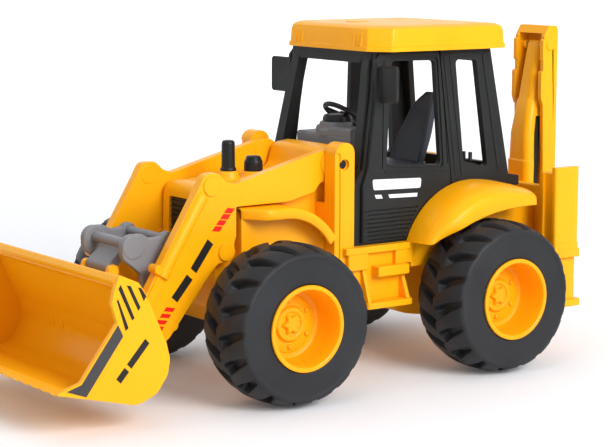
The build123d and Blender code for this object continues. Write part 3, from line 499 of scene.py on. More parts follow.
def shell_row(y):
    """Bucket wall section: along the inside from the lip over the floor and back to the top, then outside."""
    tooth = 1.5 * abs(math.sin(math.pi * LIP_TEETH * (y + BUCKET_OUT) / (2 * BUCKET_OUT)))
    lip = 144.2 + tooth
    return rounded([(lip, 26, 0.3), (139, 26.8, 2), (101.5, 17.2, 12), (88.5, 21.5, 12),
                    (82.2, 34, 12), (85, 45, 14), (97, 70.5, 6), (100, 74, 1),
                    (108.8, 77.2, 0.6), (110.6, 79.8, 0.8), (108.3, 83, 1), (105.5, 81.2, 1),
                    (97, 78.2, 2), (93.4, 73, 2), (80.6, 45, 6), (78.4, 36, 8), (80, 27.5, 9),
                    (86.5, 18.5, 9), (98.4, 13.9, 12), (lip, 25, 0.3)], steps=5)


def loader_bucket():
    bm = blank()
    inner = BUCKET_OUT - PLATE
    count = LIP_TEETH * 8
    cuts = [-inner + 2 * inner * k / count for k in range(count + 1)]
    loft(bm, [[side_point(u, v, y) for u, v in shell_row(y)] for y in cuts])
    for sign in (1, -1):
        side_slab(bm, PLATE_EDGE, sign, inner, BUCKET_OUT)
        for near, far in ((26, 29.4), (36.7, 40.2)):
            side_slab(bm, PIVOT_LUG, sign, near, far)
        side_slab(bm, LINK_LUG, sign, 12, 15.5)
        side_slab(bm, ring(LINK_LOW, 2.3, 24), sign, 15.4, 15.8)
    top_rib = rounded([(100, 72.6, 1), (104.5, 74.4, 1), (104.5, 76.4), (100, 74.8)])
    slab(bm, top_rib, -inner, inner)
    look("loader_bucket", bm, "bucket", YELLOW_LOADER)


loader_bucket()

PRINT = 0.14


def decal(name, body, outlines, w, sign, material):
    """Thin printed patches lying on a flat side at distance w from the middle."""
    bm = blank()
    for outline in outlines:
        side_slab(bm, outline, sign, w, w + PRINT)
    piece(name, bm, body, material, round_by=0)


def ink(name, low, high, rough):
    return moulded(f"ink_{name}", low, high, rough, grain_depth=0.00001)


INK = ink("black", (0.012, 0.011, 0.010), (0.02, 0.019, 0.018), (0.35, 0.45))
INK_GREY = ink("grey", (0.045, 0.043, 0.045), (0.06, 0.057, 0.058), (0.4, 0.5))
INK_RED = ink("red", (0.72, 0.012, 0.006), (0.80, 0.018, 0.010), (0.3, 0.4))
INK_WHITE = ink("white", (0.75, 0.77, 0.80), (0.85, 0.87, 0.90), (0.35, 0.45))


def bucket_marks(side, sign):
    """A hatched strip, a grey stripe and two plain bars on the bucket's side."""
    bars = [[(110.2, 70.2), (109.4, 70.9), (103.4, 55.3), (105.2, 54)],
            [(109.2, 76.2), (107.8, 78.3), (99.8, 60.1), (101.3, 59)],
            [(104.3, 77.6), (101.9, 77), (96.2, 65.2), (97.6, 63.6)],
            [(97.6, 76), (95.6, 75.2), (92.6, 70.6), (94.3, 68.4)]]
    decal(f"bucket_hatch_{side}", "bucket", bars, BUCKET_OUT, sign, INK)
    stripe = [(109.6, 57.6), (131.2, 29.2), (139.8, 26.6), (128.6, 22.4), (106.6, 51.4)]
    decal(f"bucket_stripe_{side}", "bucket", [stripe], BUCKET_OUT, sign, INK_GREY)
    plain = [[(111, 29.4), (108.4, 26.8), (103.4, 32.3), (106, 34.9)],
             [(104.6, 36.4), (102, 33.8), (91, 45.9), (93.6, 48.5)]]
    decal(f"bucket_plain_mark_{side}", "bucket", plain, BUCKET_OUT, sign, INK)


both(bucket_marks)

# ---------- loader arms
ARM_IN, ARM_OUT = 30.0, 36.0
TOWER_PIVOT = (-59, 125.5)
BUCKET_PIVOT = (68, 36)
YOKE_PIVOT = (60, 50)
CROSS_TUBE = (49, 43)
EDGE_TOP = Vector((31, 119))
EDGE_LOW = Vector((72.5, 51.4))
EDGE_ALONG = (EDGE_LOW - EDGE_TOP).normalized()
EDGE_INWARD = Vector((EDGE_ALONG.y, -EDGE_ALONG.x))
BLOCK_STEP = (2.7, -3.2)
EDGE_RIB = ((3, 4.4, 2.2), (4.2, 4.4, 3.2), (6.4, 4.4, 3.7), (50, 4, 3.7), (50.3, 4, 4.3),
            (54.4, 4, 4.3), (54.9, 4, 3.7))


def on_edge(distance, inward):
    """Point on the arm's face, so far down its front edge and so far in from it."""
    return EDGE_TOP + EDGE_ALONG * distance + EDGE_INWARD * inward


ARM_OUTLINE = rounded([(-57, 134.2, 3), (-19, 124.8, 30), (8, 117.8, 12), (14, 120, 6), (19.4, 125, 4),
                       (28, 124.8, 5), (32, 117.4, 6), (72.5, 51.4, 4), (77.2, 38, 5), (74.6, 29.6, 6),
                       (66, 27, 6), (58.6, 30.6, 5), (51, 36.6, 5), (24, 70, 4), (19, 74.5, 3),
                       (12.5, 74.6, 4), (8.7, 79, 2), (8.7, 85, 2), (7.3, 89, 2), (7.3, 105.2, 0.8),
                       (-28.6, 105.4, 2), (-46.5, 109.6, 3), (-50, 114, 3), (-58, 117.2, 4),
                       (-66.6, 121.5, 5), (-66.6, 129.5, 5)], steps=6)


def loader_arm(side, sign):
    bm = blank()
    side_slab(bm, ARM_OUTLINE, sign, ARM_IN, ARM_OUT)
    arm = merged(f"arm_{side}", [bm])
    rib_y = sign * (ARM_OUT - 0.9)
    path = [on_edge(distance, inward) for distance, inward, _ in EDGE_RIB]
    tube(arm, [(p.x, rib_y, p.y) for p in path], [r for _, _, r in EDGE_RIB], count=28)
    side_slab(arm, ring(on_edge(52.2, -1.2), 2.6, 24), sign, 31, 38.6)
    rod = [tuple(on_edge(54, 1)), tuple(on_edge(54, 6.6)), tuple(on_edge(78, 6.2)), tuple(on_edge(80, 1.2))]
    side_slab(arm, rod, sign, 35.6, 37)
    for hub, radius, count, near, far in (((14.2, 80.6), 5.2, 32, 29.4, 37.4),
                                          ((23.6, 117.8), 5.4, 32, 29.6, 36.9),
                                          (TOWER_PIVOT, 8.3, 40, 29.6, 37),
                                          (BUCKET_PIVOT, 5, 32, 29.7, 36.4),
                                          (YOKE_PIVOT, 3.4, 28, 35.6, 36.1),
                                          (CROSS_TUBE, 3.4, 28, 35.6, 36.1)):
        side_slab(arm, ring(hub, radius, count), sign, near, far)
    look(f"loader_arm_{side}", arm, "loader_arms", YELLOW_LOADER, round_by=0.6)
    blocks = []
    for k in range(4):
        x = 15.5 + BLOCK_STEP[0] * k
        z = 102.6 + BLOCK_STEP[1] * k
        blocks.append([(x, z), (x - 2.3, z + 2.6), (x - 7.2, z + 1.9), (x - 5, z - 0.8)])
    for k in range(3):
        x = 53.4 + BLOCK_STEP[0] * k
        z = 53.7 + BLOCK_STEP[1] * k
        blocks.append([(x, z), (x - 5.6 - 0.2 * k, z - 1.3), (x - 4.1 - 0.1 * k, z - 3.2),
                       (x + 1.6, z - 2.2)])
    blocks.append([(58, 43.6), (55, 42.9), (56.5, 40.6)])
    decal(f"arm_red_marks_{side}", "loader_arms", blocks, ARM_OUT, sign, INK_RED)
    bars = [[(50, 58.7), (46.4, 55.5), (36.4, 67.1), (40, 70.4)],
            [(37.6, 73.6), (34, 70.5), (22.8, 85.6), (26.4, 88.8)]]
    decal(f"arm_black_marks_{side}", "loader_arms", bars, ARM_OUT, sign, INK)


both(loader_arm)

# ---------- tilt yoke and link
LINK_TOP = (66, 87)
REAR_BAR = (44, 88.5)
LINK_HALF = 11.6
BAR_HALF = 18.8
CHEEK = rounded([(39.4, 88.5, 4.4), (43, 93.2, 4.4), (49, 90.4, 3), (56, 90.2, 6), (60, 93, 7),
                 (72.4, 92.8, 7), (73.8, 80.2, 7), (67, 75.2, 4), (61.2, 70.4, 4), (60.6, 60, 6),
                 (65.4, 52, 5), (65.4, 46, 5), (57, 44.2, 5), (54.2, 50, 5), (54.6, 66, 8),
                 (47, 83.4, 6), (41, 84.2, 4.4)], steps=6)


def cross_bar(bm, line, radius, count):
    """Round bar between the yoke's two cheeks."""
    tube(bm, [(line[0], -BAR_HALF, line[1]), (line[0], BAR_HALF, line[1])], radius, count)


def tilt_yoke():
    bm = blank()
    for sign in (1, -1):
        side_slab(bm, CHEEK, sign, 18.6, 23.2)
        side_slab(bm, ring((66.2, 86), 7, 40), sign, 18.2, 23.7)
        side_slab(bm, ring(REAR_BAR, 4.4, 32), sign, 18.2, 23.7)
    cross_bar(bm, REAR_BAR, 2.6, 28)
    look("tilt_yoke", bm, "yoke", GREY, round_by=1.1, segments=4)
    bar = blank()
    cross_bar(bar, LINK_TOP, 2.9, 32)
    piece("yoke_bar_look", bar, "yoke", GREY, ("yoke_front_bar",), round_by=0.3)


def tilt_link():
    """Plate that hangs from the yoke's front bar down to the bucket."""
    bm = blank()
    plate = rounded([(63.4, 88.2, 1.4), (66.2, 88.2, 1.4), (68.2, 82.4, 2), (76.6, 75.4, 3), (76.6, 71.4, 3),
                     (72.2, 70.2, 3), (64.6, 79.8, 3)], steps=5)
    slab(bm, plate, -LINK_HALF, LINK_HALF)
    look("tilt_link", bm, "link", GREY, round_by=0.8)


tilt_yoke()
tilt_link()

# ---------- hood, grille and stacks
HOOD_HALF = 28.0
HOOD_FRONT = 16.5
STACK_X = -11.3
CAP_X = -28.8
BLADES = 11


def hood():
    """Engine cover with softened edges, a low crown, the grille's pocket and two pads under the stacks."""
    profile = rounded([(HOOD_FRONT, 62), (HOOD_FRONT - 1.4, 114.4, 6.5), (-45, 116.8, 9), (-57, 118.2, 8),
                       (-61, 132.2, 5), (-72.4, 133.6, 1.5), (-72.4, 78), (-66, 78), (-66, 62)], steps=8)
    edge = [(HOOD_HALF - inset, -drop, 100) for inset, drop in ((0, 2.6), (0.7, 1.2), (1.8, 0.35), (3.2, 0))]
    crown = [(y, 0.35, 112) for y in (-14, 0, 14)]
    sections = [(-y, rise, above) for y, rise, above in edge] + crown + edge[::-1]
    shell = blank()
    loft(shell, [[side_point(u, v + (rise if v > above else 0), y) for u, v in profile]
                 for y, rise, above in sections])
    pocket = solid(rounded([(-21.6, 70.6, 2), (21.6, 70.6, 2), (21.6, 106, 2), (-21.6, 106, 2)]),
                   HOOD_FRONT - 3.2, HOOD_FRONT + 3, front_point)
    seam = solid([(3, 112.5), (4, 112.5), (4, 119), (3, 119)], -HOOD_HALF - 1, HOOD_HALF + 1)
    out = merged("hood", [shell, pocket, seam], "DIFFERENCE")
    lathe(out, [(8.2, 114.8), (7, 116.2), (6.2, 118.4), (5.7, 120), (5.2, 120.7), (0.3, 120.7)],
          (STACK_X, 0, 0), "Z", 56)
    lathe(out, [(9.4, 115.2), (8, 116.2), (7, 117.8), (6.6, 119), (6.2, 119.5), (0.3, 119.5)],
          (CAP_X, 0, 0), "Z", 56)
    look("hood", out, "chassis", YELLOW, round_by=0.45)
    cowl = blank()
    wide = rounded([(-36.9, 82), (36.9, 82), (36.9, 129, 5), (14, 133.2, 30), (-14, 133.2, 30),
                    (-36.9, 129, 5)], steps=6)
    slab(cowl, wide, -72.9, -69, front_point)
    piece("cowl_plate", cowl, "chassis", YELLOW, round_by=1.2, segments=4)


hood()


def grille():
    """Backplate with slanted blades."""
    bm = blank()
    slab(bm, rounded([(-20.9, 71.3, 1.5), (20.9, 71.3, 1.5), (20.9, 105.3, 1.5), (-20.9, 105.3, 1.5)]),
         HOOD_FRONT - 3.1, HOOD_FRONT - 2.2, front_point)
    for k in range(BLADES):
        z = 73.4 + 29.8 * k / (BLADES - 1)
        blade = [(HOOD_FRONT - 2.4, z - 1.1), (HOOD_FRONT - 0.9, z - 0.7), (HOOD_FRONT - 0.9, z + 0.2),
                 (HOOD_FRONT - 2.4, z + 0.9)]
        slab(bm, blade, -19.6, 19.6)
    look("grille", bm, "chassis", BLACK, round_by=0.25, segments=2)


grille()


def stacks():
    bm = blank()
    lathe(bm, [(4.7, 120.8), (4.7, 121.8), (4.45, 122.4), (4.05, 122.9), (3.95, 126), (3.85, 136.2),
               (3.6, 137.4), (3, 138.1), (2, 138.4), (0.2, 138.5)], (STACK_X, 0, 0), "Z", 48)
    look("exhaust_stack", bm, "chassis", BLACK, round_by=0)
    bm = blank()
    lathe(bm, [(5.6, 119.6), (5.6, 120.4), (5.45, 124.6), (5.2, 125.6), (4.7, 126.2), (4.4, 127.4),
               (3.9, 128), (3, 128.3), (0.2, 128.4)], (CAP_X, 0, 0), "Z", 48)
    piece("air_cleaner_look", bm, "chassis", BLACK, ("air_cleaner_cap",), round_by=0)


stacks()

# ---------- towers and fenders
TOWER_IN, TOWER_OUT = 37.3, 48.0
TOWER_FRONT, TOWER_REAR = -52.7, -66.0


def tower(side, sign):
    outline = rounded([(TOWER_FRONT, 62), (TOWER_FRONT, 138, 6.2), (TOWER_REAR, 138, 6.2), (TOWER_REAR, 62)],
                      steps=8)
    post = side_solid(outline, sign, TOWER_IN, TOWER_OUT)
    foot = side_solid(rect(TOWER_FRONT, TOWER_REAR, 62, 103), sign, HOOD_HALF, TOWER_IN + 0.1)
    hole = side_solid(ring(TOWER_PIVOT, 3.2, 32), sign, TOWER_OUT - 2.2, TOWER_OUT + 1)
    step_cut = side_solid(rect(TOWER_FRONT + 1, TOWER_FRONT - 3.4, 60, 132.5, 0, 2), sign,
                          TOWER_OUT - 0.9, TOWER_OUT + 1)
    look(f"tower_{side}", carved("tower", [post, foot], [hole, step_cut]), "chassis", YELLOW)
    pin = blank()
    lathe(pin, [(2.95, 29.9), (2.95, 45.5), (2.4, 45.9), (0.3, 45.9)],
          (TOWER_PIVOT[0], 0, TOWER_PIVOT[1]), sign=sign, count=32)
    piece(f"tower_pin_{side}_look", pin, "chassis", BLACK, ("tower_pins",), round_by=0, slot="pin_steel")


both(tower)

FENDER_OUT = 50.0


def front_fender(side, sign):
    """Flat top, an arc down to the tower and a lip that hangs below its outer edge."""
    stations = []
    flat = [(4.5 - 22.5 * k / 8, 104.2) for k in range(9)]
    centre, radius = Vector((-18, 63.6)), 40.6
    arc = [(centre.x - radius * math.sin(a), centre.y + radius * math.cos(a))
           for a in (math.radians(61) * k / 14 for k in range(1, 15))]
    arc = [(x, z) for x, z in arc if x > TOWER_FRONT + 0.2]
    top = flat + arc
    end = top[-1]
    top.append((TOWER_FRONT + 0.1, end[1] - (end[0] - TOWER_FRONT) * 0.85))
    lip = 6.3
    for i, (x, z) in enumerate(top):
        along = Vector(top[min(i + 1, len(top) - 1)]) - Vector(top[max(i - 1, 0)])
        along.normalize()
        down = Vector((-along.y, along.x))
        if down.y > 0:
            down = -down
        stations.append((Vector((x, z)), down))
    bm = blank()
    rows = []
    for p, down in stations:
        slant = min(max((p.x + 5) / 9.5, 0), 1)
        out = FENDER_OUT - (FENDER_OUT - 37) * slant
        section = [(28, 0), (out - 2.6, 0), (out - 1.5, 0.25), (out - 0.6, 0.9), (out - 0.12, 1.9),
                   (out, 3), (out, lip - 0.6), (out - 0.5, lip), (out - 2, lip), (out - 2.4, lip - 0.5),
                   (out - 2.8, 2.6), (28, 2.6)]
        rows.append([place(p.x + down.x * d, sign * w, p.y + down.y * d) for w, d in section])
    loft(bm, rows)
    wall = rounded([(4.5, 103.6), (4.5, 66, 2), (-2, 63, 2), (-46, 63, 2), (TOWER_FRONT + 0.1, 64),
                    (TOWER_FRONT + 0.1, 91), (-36, 99), (-18, 103.6)])
    side_slab(bm, wall, sign, 28, 37)
    look(f"front_fender_{side}", bm, "chassis", YELLOW, round_by=0.4, angle=40)


both(front_fender)

REAR_OUT = 75.0
CAB_HALF = 48.3
ARCH_X, ARCH_Z = -152.0, 60.0
ARCH_R = 50.8
ARCH_SHARE = 0.62
FENDER_CROWN = ((0.35, 0.97), (0.62, 0.90), (0.82, 0.78), (0.94, 0.62))
FENDER_UNDER = ((0.75, 0.6), (0.3, 0.78))


def rear_fender(side, sign):
    """Bulged arch over the rear tyre, swept from its front foot to its tail."""
    count = 40
    rows = []
    for k in range(count + 1):
        t = k / count
        if t < ARCH_SHARE:
            a = math.radians(160.0 - 70.0 * t / ARCH_SHARE)
            top = Vector((ARCH_X - ARCH_R * math.cos(a), ARCH_Z + ARCH_R * math.sin(a)))
        else:
            s = (t - ARCH_SHARE) / (1.0 - ARCH_SHARE)
            top = Vector((ARCH_X - 35 * s, ARCH_Z + ARCH_R - 6.0 * s * s - 0.6 * s))
        low_x = -109.5 - 77.5 * (0.9 * t + 0.1 * t * t)
        low = Vector((low_x, 95.6 - 17.6 * (1 - t) ** 2.3 + 0.6 * math.sin(math.pi * t)))
        front = step(0, 0.25, t)
        out = CAB_HALF + (REAR_OUT - CAB_HALF) * (0.78 + 0.22 * front) - 5.0 * step(0.93, 1, t) ** 2
        crown, under = [[(CAB_HALF + share * (out - CAB_HALF), low.lerp(top, rise)) for share, rise in bend]
                        for bend in (FENDER_CROWN, FENDER_UNDER)]
        section = [(CAB_HALF - 0.2, top), *crown, (out - 0.25, low.lerp(top, 0.5)),
                   (out, low.lerp(top, 0.25)), (out, low + Vector((0, 0.5))), (out - 0.6, low),
                   (out - 2, low), (out - 2.4, low.lerp(top, 0.2)), *under,
                   (CAB_HALF - 0.2, low.lerp(top, 0.80))]
        rows.append([place(p.x, sign * w, p.y) for w, p in section])
    bm = blank()
    loft(bm, rows)
    wall = [(-108, 62), (-108, 78), (-113, 90), (-126, 98.5), (-192, 98.5), (-205, 90), (-205, 62)]
    side_slab(bm, wall, sign, 44, CAB_HALF)
    look(f"rear_fender_{side}", bm, "chassis", YELLOW, round_by=0.35, angle=38)


both(rear_fender)

STEP_OUT = 57.0


def side_step(side, sign):
    """Back plate, four ledges and two braces below the door."""
    bm = blank()
    back = rounded([(TOWER_REAR, 77.5), (TOWER_REAR, 58, 3), (-72, 46, 6), (-72, 41.5), (-102, 41.5),
                    (-102, 60, 2), (-108, 66, 2), (-108, 77.5)])
    side_slab(bm, back, sign, 44, TOWER_OUT)
    for front, rear, out, radius, low, high in ((-70, -103, STEP_OUT, 1.5, 41.5, 45.2),
                                                (-79, -102, 55, 1, 59.6, 65.4),
                                                (-58, -108, 51.6, 0.8, 73.4, 77.4),
                                                (-60, -74.6, 51.2, 0.8, 64, 73.6),
                                                (-94.5, -107.6, 51.2, 0.8, 65.2, 73.6)):
        level_slab(bm, rect(front, rear, 47, out, 0, radius), sign, low, high)
    for x, low, high in ((-102, 45, 59.8), (-73.6, 45, 64.2)):
        brace = [(sign * 47, low), (sign * (STEP_OUT - 1.2), low), (sign * 49.5, high), (sign * 47, high)]
        slab(bm, brace, x, x + 2.6, front_point)
    look(f"side_step_{side}", bm, "chassis", YELLOW)


both(side_step)

# ---------- cab
WALL_OUT = 46.3
ROOF_Z = 188.6
LEAN_START, LEAN_FULL, LEAN_SLOPE = 100, 124, 0.0744
SILL_LINE = [(-104.3, 79.2), (-71.5, 79.2), (-71.5, 112, 8), (-75.5, 122, 8), (-83.3, 163, 10),
             (-84.5, 183.5, 4), (-88, 187.4, 2), (-132, 187.4, 1), (-138, 109.8)]
DOOR_ARC = [(-138 + 33.7 * t + 4.2 * math.sin(math.pi * t), 109.8 - 30.6 * t + 3.6 * math.sin(math.pi * t))
            for t in (k / 12 for k in range(1, 12))]


def lean_shift(z):
    """How far the cab wall leans in at height z."""
    if z <= LEAN_START:
        return 0.0
    if z < LEAN_FULL:
        return LEAN_SLOPE * (z - LEAN_START) ** 2 / (2 * (LEAN_FULL - LEAN_START))
    return LEAN_SLOPE * (z - (LEAN_START + LEAN_FULL) / 2)


def lean_in(bm, sign):
    """Bends an upright panel inwards so it follows the cab wall."""
    for z in (100, 104, 108, 112, 116, 120, 124, 156):
        geometry = bm.verts[:] + bm.edges[:] + bm.faces[:]
        bmesh.ops.bisect_plane(bm, geom=geometry, plane_co=(0, 0, z * MM), plane_no=(0, 0, 1))
    for v in bm.verts:
        v.co.y -= sign * lean_shift(v.co.z / MM) * MM


def grown(points, amount):
    """The outline of a window, set outwards by amount."""
    middle = sum((Vector(p[:2]) for p in points), Vector((0, 0))) / len(points)
    return [(u + math.copysign(amount, u - middle.x), v + math.copysign(amount, v - middle.y), r)
            for u, v, r in points]


DOOR_WINDOW = [(-97, 183, 2.5), (-129.2, 182.3, 2.5), (-131, 121, 2.5), (-90.3, 123.3, 2.5)]
LOUVRES = 8
CUT_OUT = 52


def wall_band(bm, outline, sign):
    """Raised line on the cab's side."""
    side_slab(bm, outline, sign, CAB_HALF - 0.3, CAB_HALF + 0.5)


def door(side, sign):
    """Panel with a window, louvres and engraved lines, bent to the cab's lean, and its plain white mark."""
    panel = side_solid(rounded(SILL_LINE + DOOR_ARC, steps=6), sign, WALL_OUT, CAB_HALF)
    cuts = [side_solid(rounded(DOOR_WINDOW), sign, 40, CUT_OUT),
            side_solid(rounded(grown(DOOR_WINDOW, 1.7)), sign, CAB_HALF - 0.9, CUT_OUT)]
    for k in range(LOUVRES):
        z = 80.6 + 2.42 * k
        rear = -102.6 - 0.45 * (z - 79.2) - 0.006 * (z - 79.2) ** 2
        cuts.append(side_solid(rect(-75.4, rear, z - 0.5, z + 0.25), sign, CAB_HALF - 1, CUT_OUT))
    stile = [(-90.2, 183.5), (-90.9, 183.5), (-86.9, 121.2), (-86.2, 121.2)]
    rear_line = [(-133.2, 183.5), (-133.9, 183.5), (-136.2, 121.2), (-135.5, 121.2)]
    cuts += [side_solid(line, sign, CAB_HALF - 0.6, CUT_OUT) for line in (stile, rear_line)]
    body = merged(f"door_{side}", [panel] + cuts, "DIFFERENCE")
    front_rib = [(-72, 80), (-73, 80), (-73, 113), (-76.9, 123.2), (-84.6, 163.2), (-85.6, 183.2),
                 (-84.8, 183.2), (-83.8, 163), (-76.1, 122.6), (-72, 112.6)]
    wall_band(body, front_rib, sign)
    sill_rib = rounded([(-87.8, 119.6, 1), (-136.4, 118.2, 1), (-136.4, 117.2, 1), (-87.8, 118.6, 1)])
    wall_band(body, sill_rib, sign)
    for k in range(LOUVRES // 2):
        wall_band(body, ring((-74.1, 82.8 + 4.84 * k), 0.55, 12), sign)
    lean_in(body, sign)
    look(f"door_{side}", body, "chassis", CHARCOAL, round_by=0.25, segments=2)
    label = blank()
    plain = [rounded([(-79, 115.6, 1.2), (-79.8, 109.4, 1.2), (-114.6, 108.4, 1.2), (-115.4, 114.2, 1.2)]),
             [(-80.6, 106.6), (-81.6, 104.4), (-86.4, 104.2), (-85.4, 106.4)],
             [(-90.6, 106.2), (-91.6, 104), (-112, 103.4), (-112.4, 105.6)]]
    for outline in plain:
        side_slab(label, outline, sign, CAB_HALF, CAB_HALF + PRINT)
    lean_in(label, sign)
    piece(f"door_mark_{side}", label, "chassis", INK_WHITE, round_by=0)


both(door)


def cab_ribs(side, sign):
    """Raised lines on the posts, the header and round the rear side window."""
    bm = blank()
    for band in ([(-135, 186), (-136.2, 186), (-142.6, 113), (-141.2, 113)],
                 [(-139.6, 186), (-140.6, 186), (-147, 113), (-146, 113)],
                 [(-165, 186), (-166.4, 186), (-176.6, 113), (-175, 113)],
                 [(-133.4, 186.2), (-133.4, 184.6), (-171.4, 184.6), (-171, 186.2)],
                 [(-142.8, 111.4), (-142.8, 110.2), (-182.4, 110.2), (-182.6, 111.4)]):
        wall_band(bm, band, sign)
    lean_in(bm, sign)
    piece(f"cab_ribs_{side}", bm, "chassis", CHARCOAL, round_by=0.2, segments=2)
    flange = blank()
    outline = rounded([(-181, 112.6, 1), (-181, 106.2), (-192, 104.8), (-192, 110.6, 1)])
    side_slab(flange, outline, sign, 30, CAB_HALF + 0.2)
    piece(f"cab_flange_{side}", flange, "chassis", CHARCOAL, round_by=0.4)


both(cab_ribs)


def header():
    """Deep band across the top of the cab's front, under the roof."""
    bm = blank()
    front = [(-29.5, 181.6), (29.5, 181.6), (34.5, ROOF_Z), (-34.5, ROOF_Z)]
    slab(bm, front, -86.2, -83.4, front_point)
    piece("cab_header", bm, "chassis", CHARCOAL, round_by=0.4)


header()

ROOF_EDGE = [(-81.4, 38.4), (-90.8, 50.6), (-176.6, 50.6), (-180.6, 46.4)]


def roof():
    """Shallow domed roof with a flared lower rim, ribbed front corners and a round cap."""
    full = ROOF_EDGE + [(x, -y) for x, y in reversed(ROOF_EDGE)]
    middle = Vector((-131, 0))
    rows = []
    for z, inset, radius in ((188.6, 0.9, 2), (188.6, 0, 2.2), (191, 0, 2.2), (191.5, 0.6, 2.2),
                             (199, 1, 3), (201.6, 1.7, 4), (203, 3.8, 5), (203.5, 7, 6),
                             (204, 20, 6), (204.2, 34, 5)):
        corners = []
        for x, y in full:
            away = Vector((x, y)) - middle
            corners.append((x - math.copysign(inset, away.x), y - math.copysign(inset, y), radius))
        rows.append(level_row(rounded(corners, steps=4), z))
    shell = blank()
    loft(shell, rows)
    under = [(-92, 30), (-98, 36), (-164, 36), (-164, -36), (-98, -36), (-92, -30)]
    well = solid(under, 188, 199, level_point)
    body = merged("roof", [shell, well], "DIFFERENCE")
    for sign in (1, -1):
        for k in range(3):
            y = sign * (25.6 + 3.4 * k)
            tube(body, [(-82, y, 191.4), (-82.6, y + 0.5, 198.6)], 0.75, count=10)
    cap = [(7, 203), (7, 204.2), (6.6, 204.38), (6, 204.39), (0.2, 204.39)]
    lathe(body, cap, (-104, 0, 0), "Z", 48)
    look("roof", body, "chassis", YELLOW, round_by=0.3)


roof()

MIRROR_IN = 44.2
MIRROR_OUT = {"left": 60.3, "right": 63.6}
MIRROR_LOW, MIRROR_HIGH = 159.6, 181.0


def mirror_plate(side, sign):
    """Pillow-edged plate on two tabs."""
    bm = blank()
    out = MIRROR_OUT[side]
    middle = (MIRROR_IN + out) / 2
    height = (MIRROR_LOW + MIRROR_HIGH) / 2
    plate = rounded([(MIRROR_IN, MIRROR_LOW, 2.2), (out, MIRROR_LOW, 2.2), (out, MIRROR_HIGH, 2.2),
                     (MIRROR_IN, MIRROR_HIGH, 2.2)])
    loft(bm, [[front_point(sign * (middle + (u - middle) * shrink), height + (v - height) * shrink, x)
               for u, v in plate]
              for x, shrink in ((-88.6, 0.90), (-88.2, 0.98), (-86.6, 1), (-86, 0.99), (-85.8, 0.94),
                                (-86.2, 0.90))])
    for near, low, high in ((42, 164.4, 168.4), (41.8, 174.4, 178)):
        tab = [(sign * near, low), (sign * 47, low), (sign * 47, high), (sign * near, high)]
        slab(bm, tab, -88.6, -86.4, front_point)
    look(f"mirror_{side}", bm, "chassis", CHARCOAL, round_by=0.3)


both(mirror_plate)


def seat():
    """Back that narrows and leans in two bends, with low wings, over a soft-edged cushion and a foot."""
    bm = blank()
    rows = []
    for t in range(13):
        k = t / 12
        lower = min(k / 0.45, 1)
        upper = max((k - 0.45) / 0.55, 0)
        z = 113.0 + 46.4 * k
        front = -137.0 - 9.0 * lower - 11.0 * upper
        half = 15.0 - 1.2 * lower - 6.0 * upper
        deep = 8.0 - 1.6 * k
        if t > 10:
            front -= 1.1 * (t - 10) ** 1.4
            half -= 1.6 * (t - 10) ** 1.3
            deep -= 2.0 * (t - 10)
        back = front - deep
        dish = front - 1.8
        wing = [(front, half, 2), (back, half * 0.86, 2), (back, -half * 0.86, 2), (front, -half, 2),
                (dish, -half + 3.4, 2), (dish, half - 3.4, 2)]
        rows.append(level_row(rounded(wing, steps=3), z))
    loft(bm, rows)
    cushion = []
    for z, inset in ((110, 1), (111, 0), (116.6, 0), (118.2, 0.9), (118.9, 2.6)):
        front = -115.6 - inset
        outline = [(front, 16.6 - inset, 4), (-147, 15.4 - inset, 2), (-147, -15.4 + inset, 2),
                   (front, -16.6 + inset, 4)]
        cushion.append(level_row(rounded(outline), z))
    loft(bm, cushion)
    foot = rounded([(-127, 11, 1), (-141, 11, 1), (-141, -11, 1), (-127, -11, 1)])
    slab(bm, foot, 100, 110.6, level_point)
    look("seat", bm, "chassis", SLATE, round_by=0.3, angle=36)


seat()


RING_R = 12.5
RING_THICK = 1.5


def steering():
    """Thick ring on three spokes, leaned back towards the driver."""
    lean = math.radians(35)
    up_axis = Vector((-math.sin(lean), 0, math.cos(lean)))
    level_axis = Vector((math.cos(lean), 0, math.sin(lean)))
    foot = Vector((-88, 0, 139.5))
    centre = foot + up_axis * 11.0

    def on_ring(a, r=RING_R):
        return tuple(centre + level_axis * (r * math.cos(a)) + Vector((0, r * math.sin(a), 0)))

    bm = blank()
    rows = []
    for a in turns(40):
        out = (Vector(on_ring(a)) - centre).normalized()
        rows.append([place(*(Vector(on_ring(a)) + RING_THICK * (math.cos(b) * out + math.sin(b) * up_axis)))
                     for b in turns(12)])
    loft(bm, rows, closed=True)
    for k in range(3):
        a = math.pi + 2 * math.pi * k / 3
        tube(bm, [tuple(centre - 0.6 * up_axis), on_ring(a, 11.6)], [1.5, 1.2], count=10)
    tube(bm, [tuple(centre - 1.8 * up_axis), tuple(centre + 1.2 * up_axis)], [3.8, 3], count=20)
    look("steering_wheel", bm, "chassis", BLACK, round_by=0.2)


steering()

# ---------- dashboard and column
def dashboard():
    """Two stepped boxes, the column's round foot and its boot."""
    bm = blank()
    slab(bm, rect(-79.1, -99, 110, 138.2, 0, 1.6), -26.8, 26.8)
    slab(bm, rounded([(-79.3, 130), (-79.3, 143.4, 2.4), (-97.5, 142.4, 2.4), (-97.5, 130)]), -8, 26.2)
    lathe(bm, [(10.6, 137), (10.6, 140.4), (10, 141.2), (9.8, 144.6), (9.2, 145.2), (0.3, 145.2)],
          (-88.6, 0, 0), "Z", 48)
    look("dashboard", bm, "chassis", DASH)
    boot = blank()
    lathe(boot, [(8.8, 144), (8.8, 147.2), (8, 149), (5.2, 149.8), (0.3, 149.8)],
          (-89.6, 0, 0), "Z", 40)
    piece("column_boot", boot, "chassis", BLACK, round_by=0.4)


dashboard()


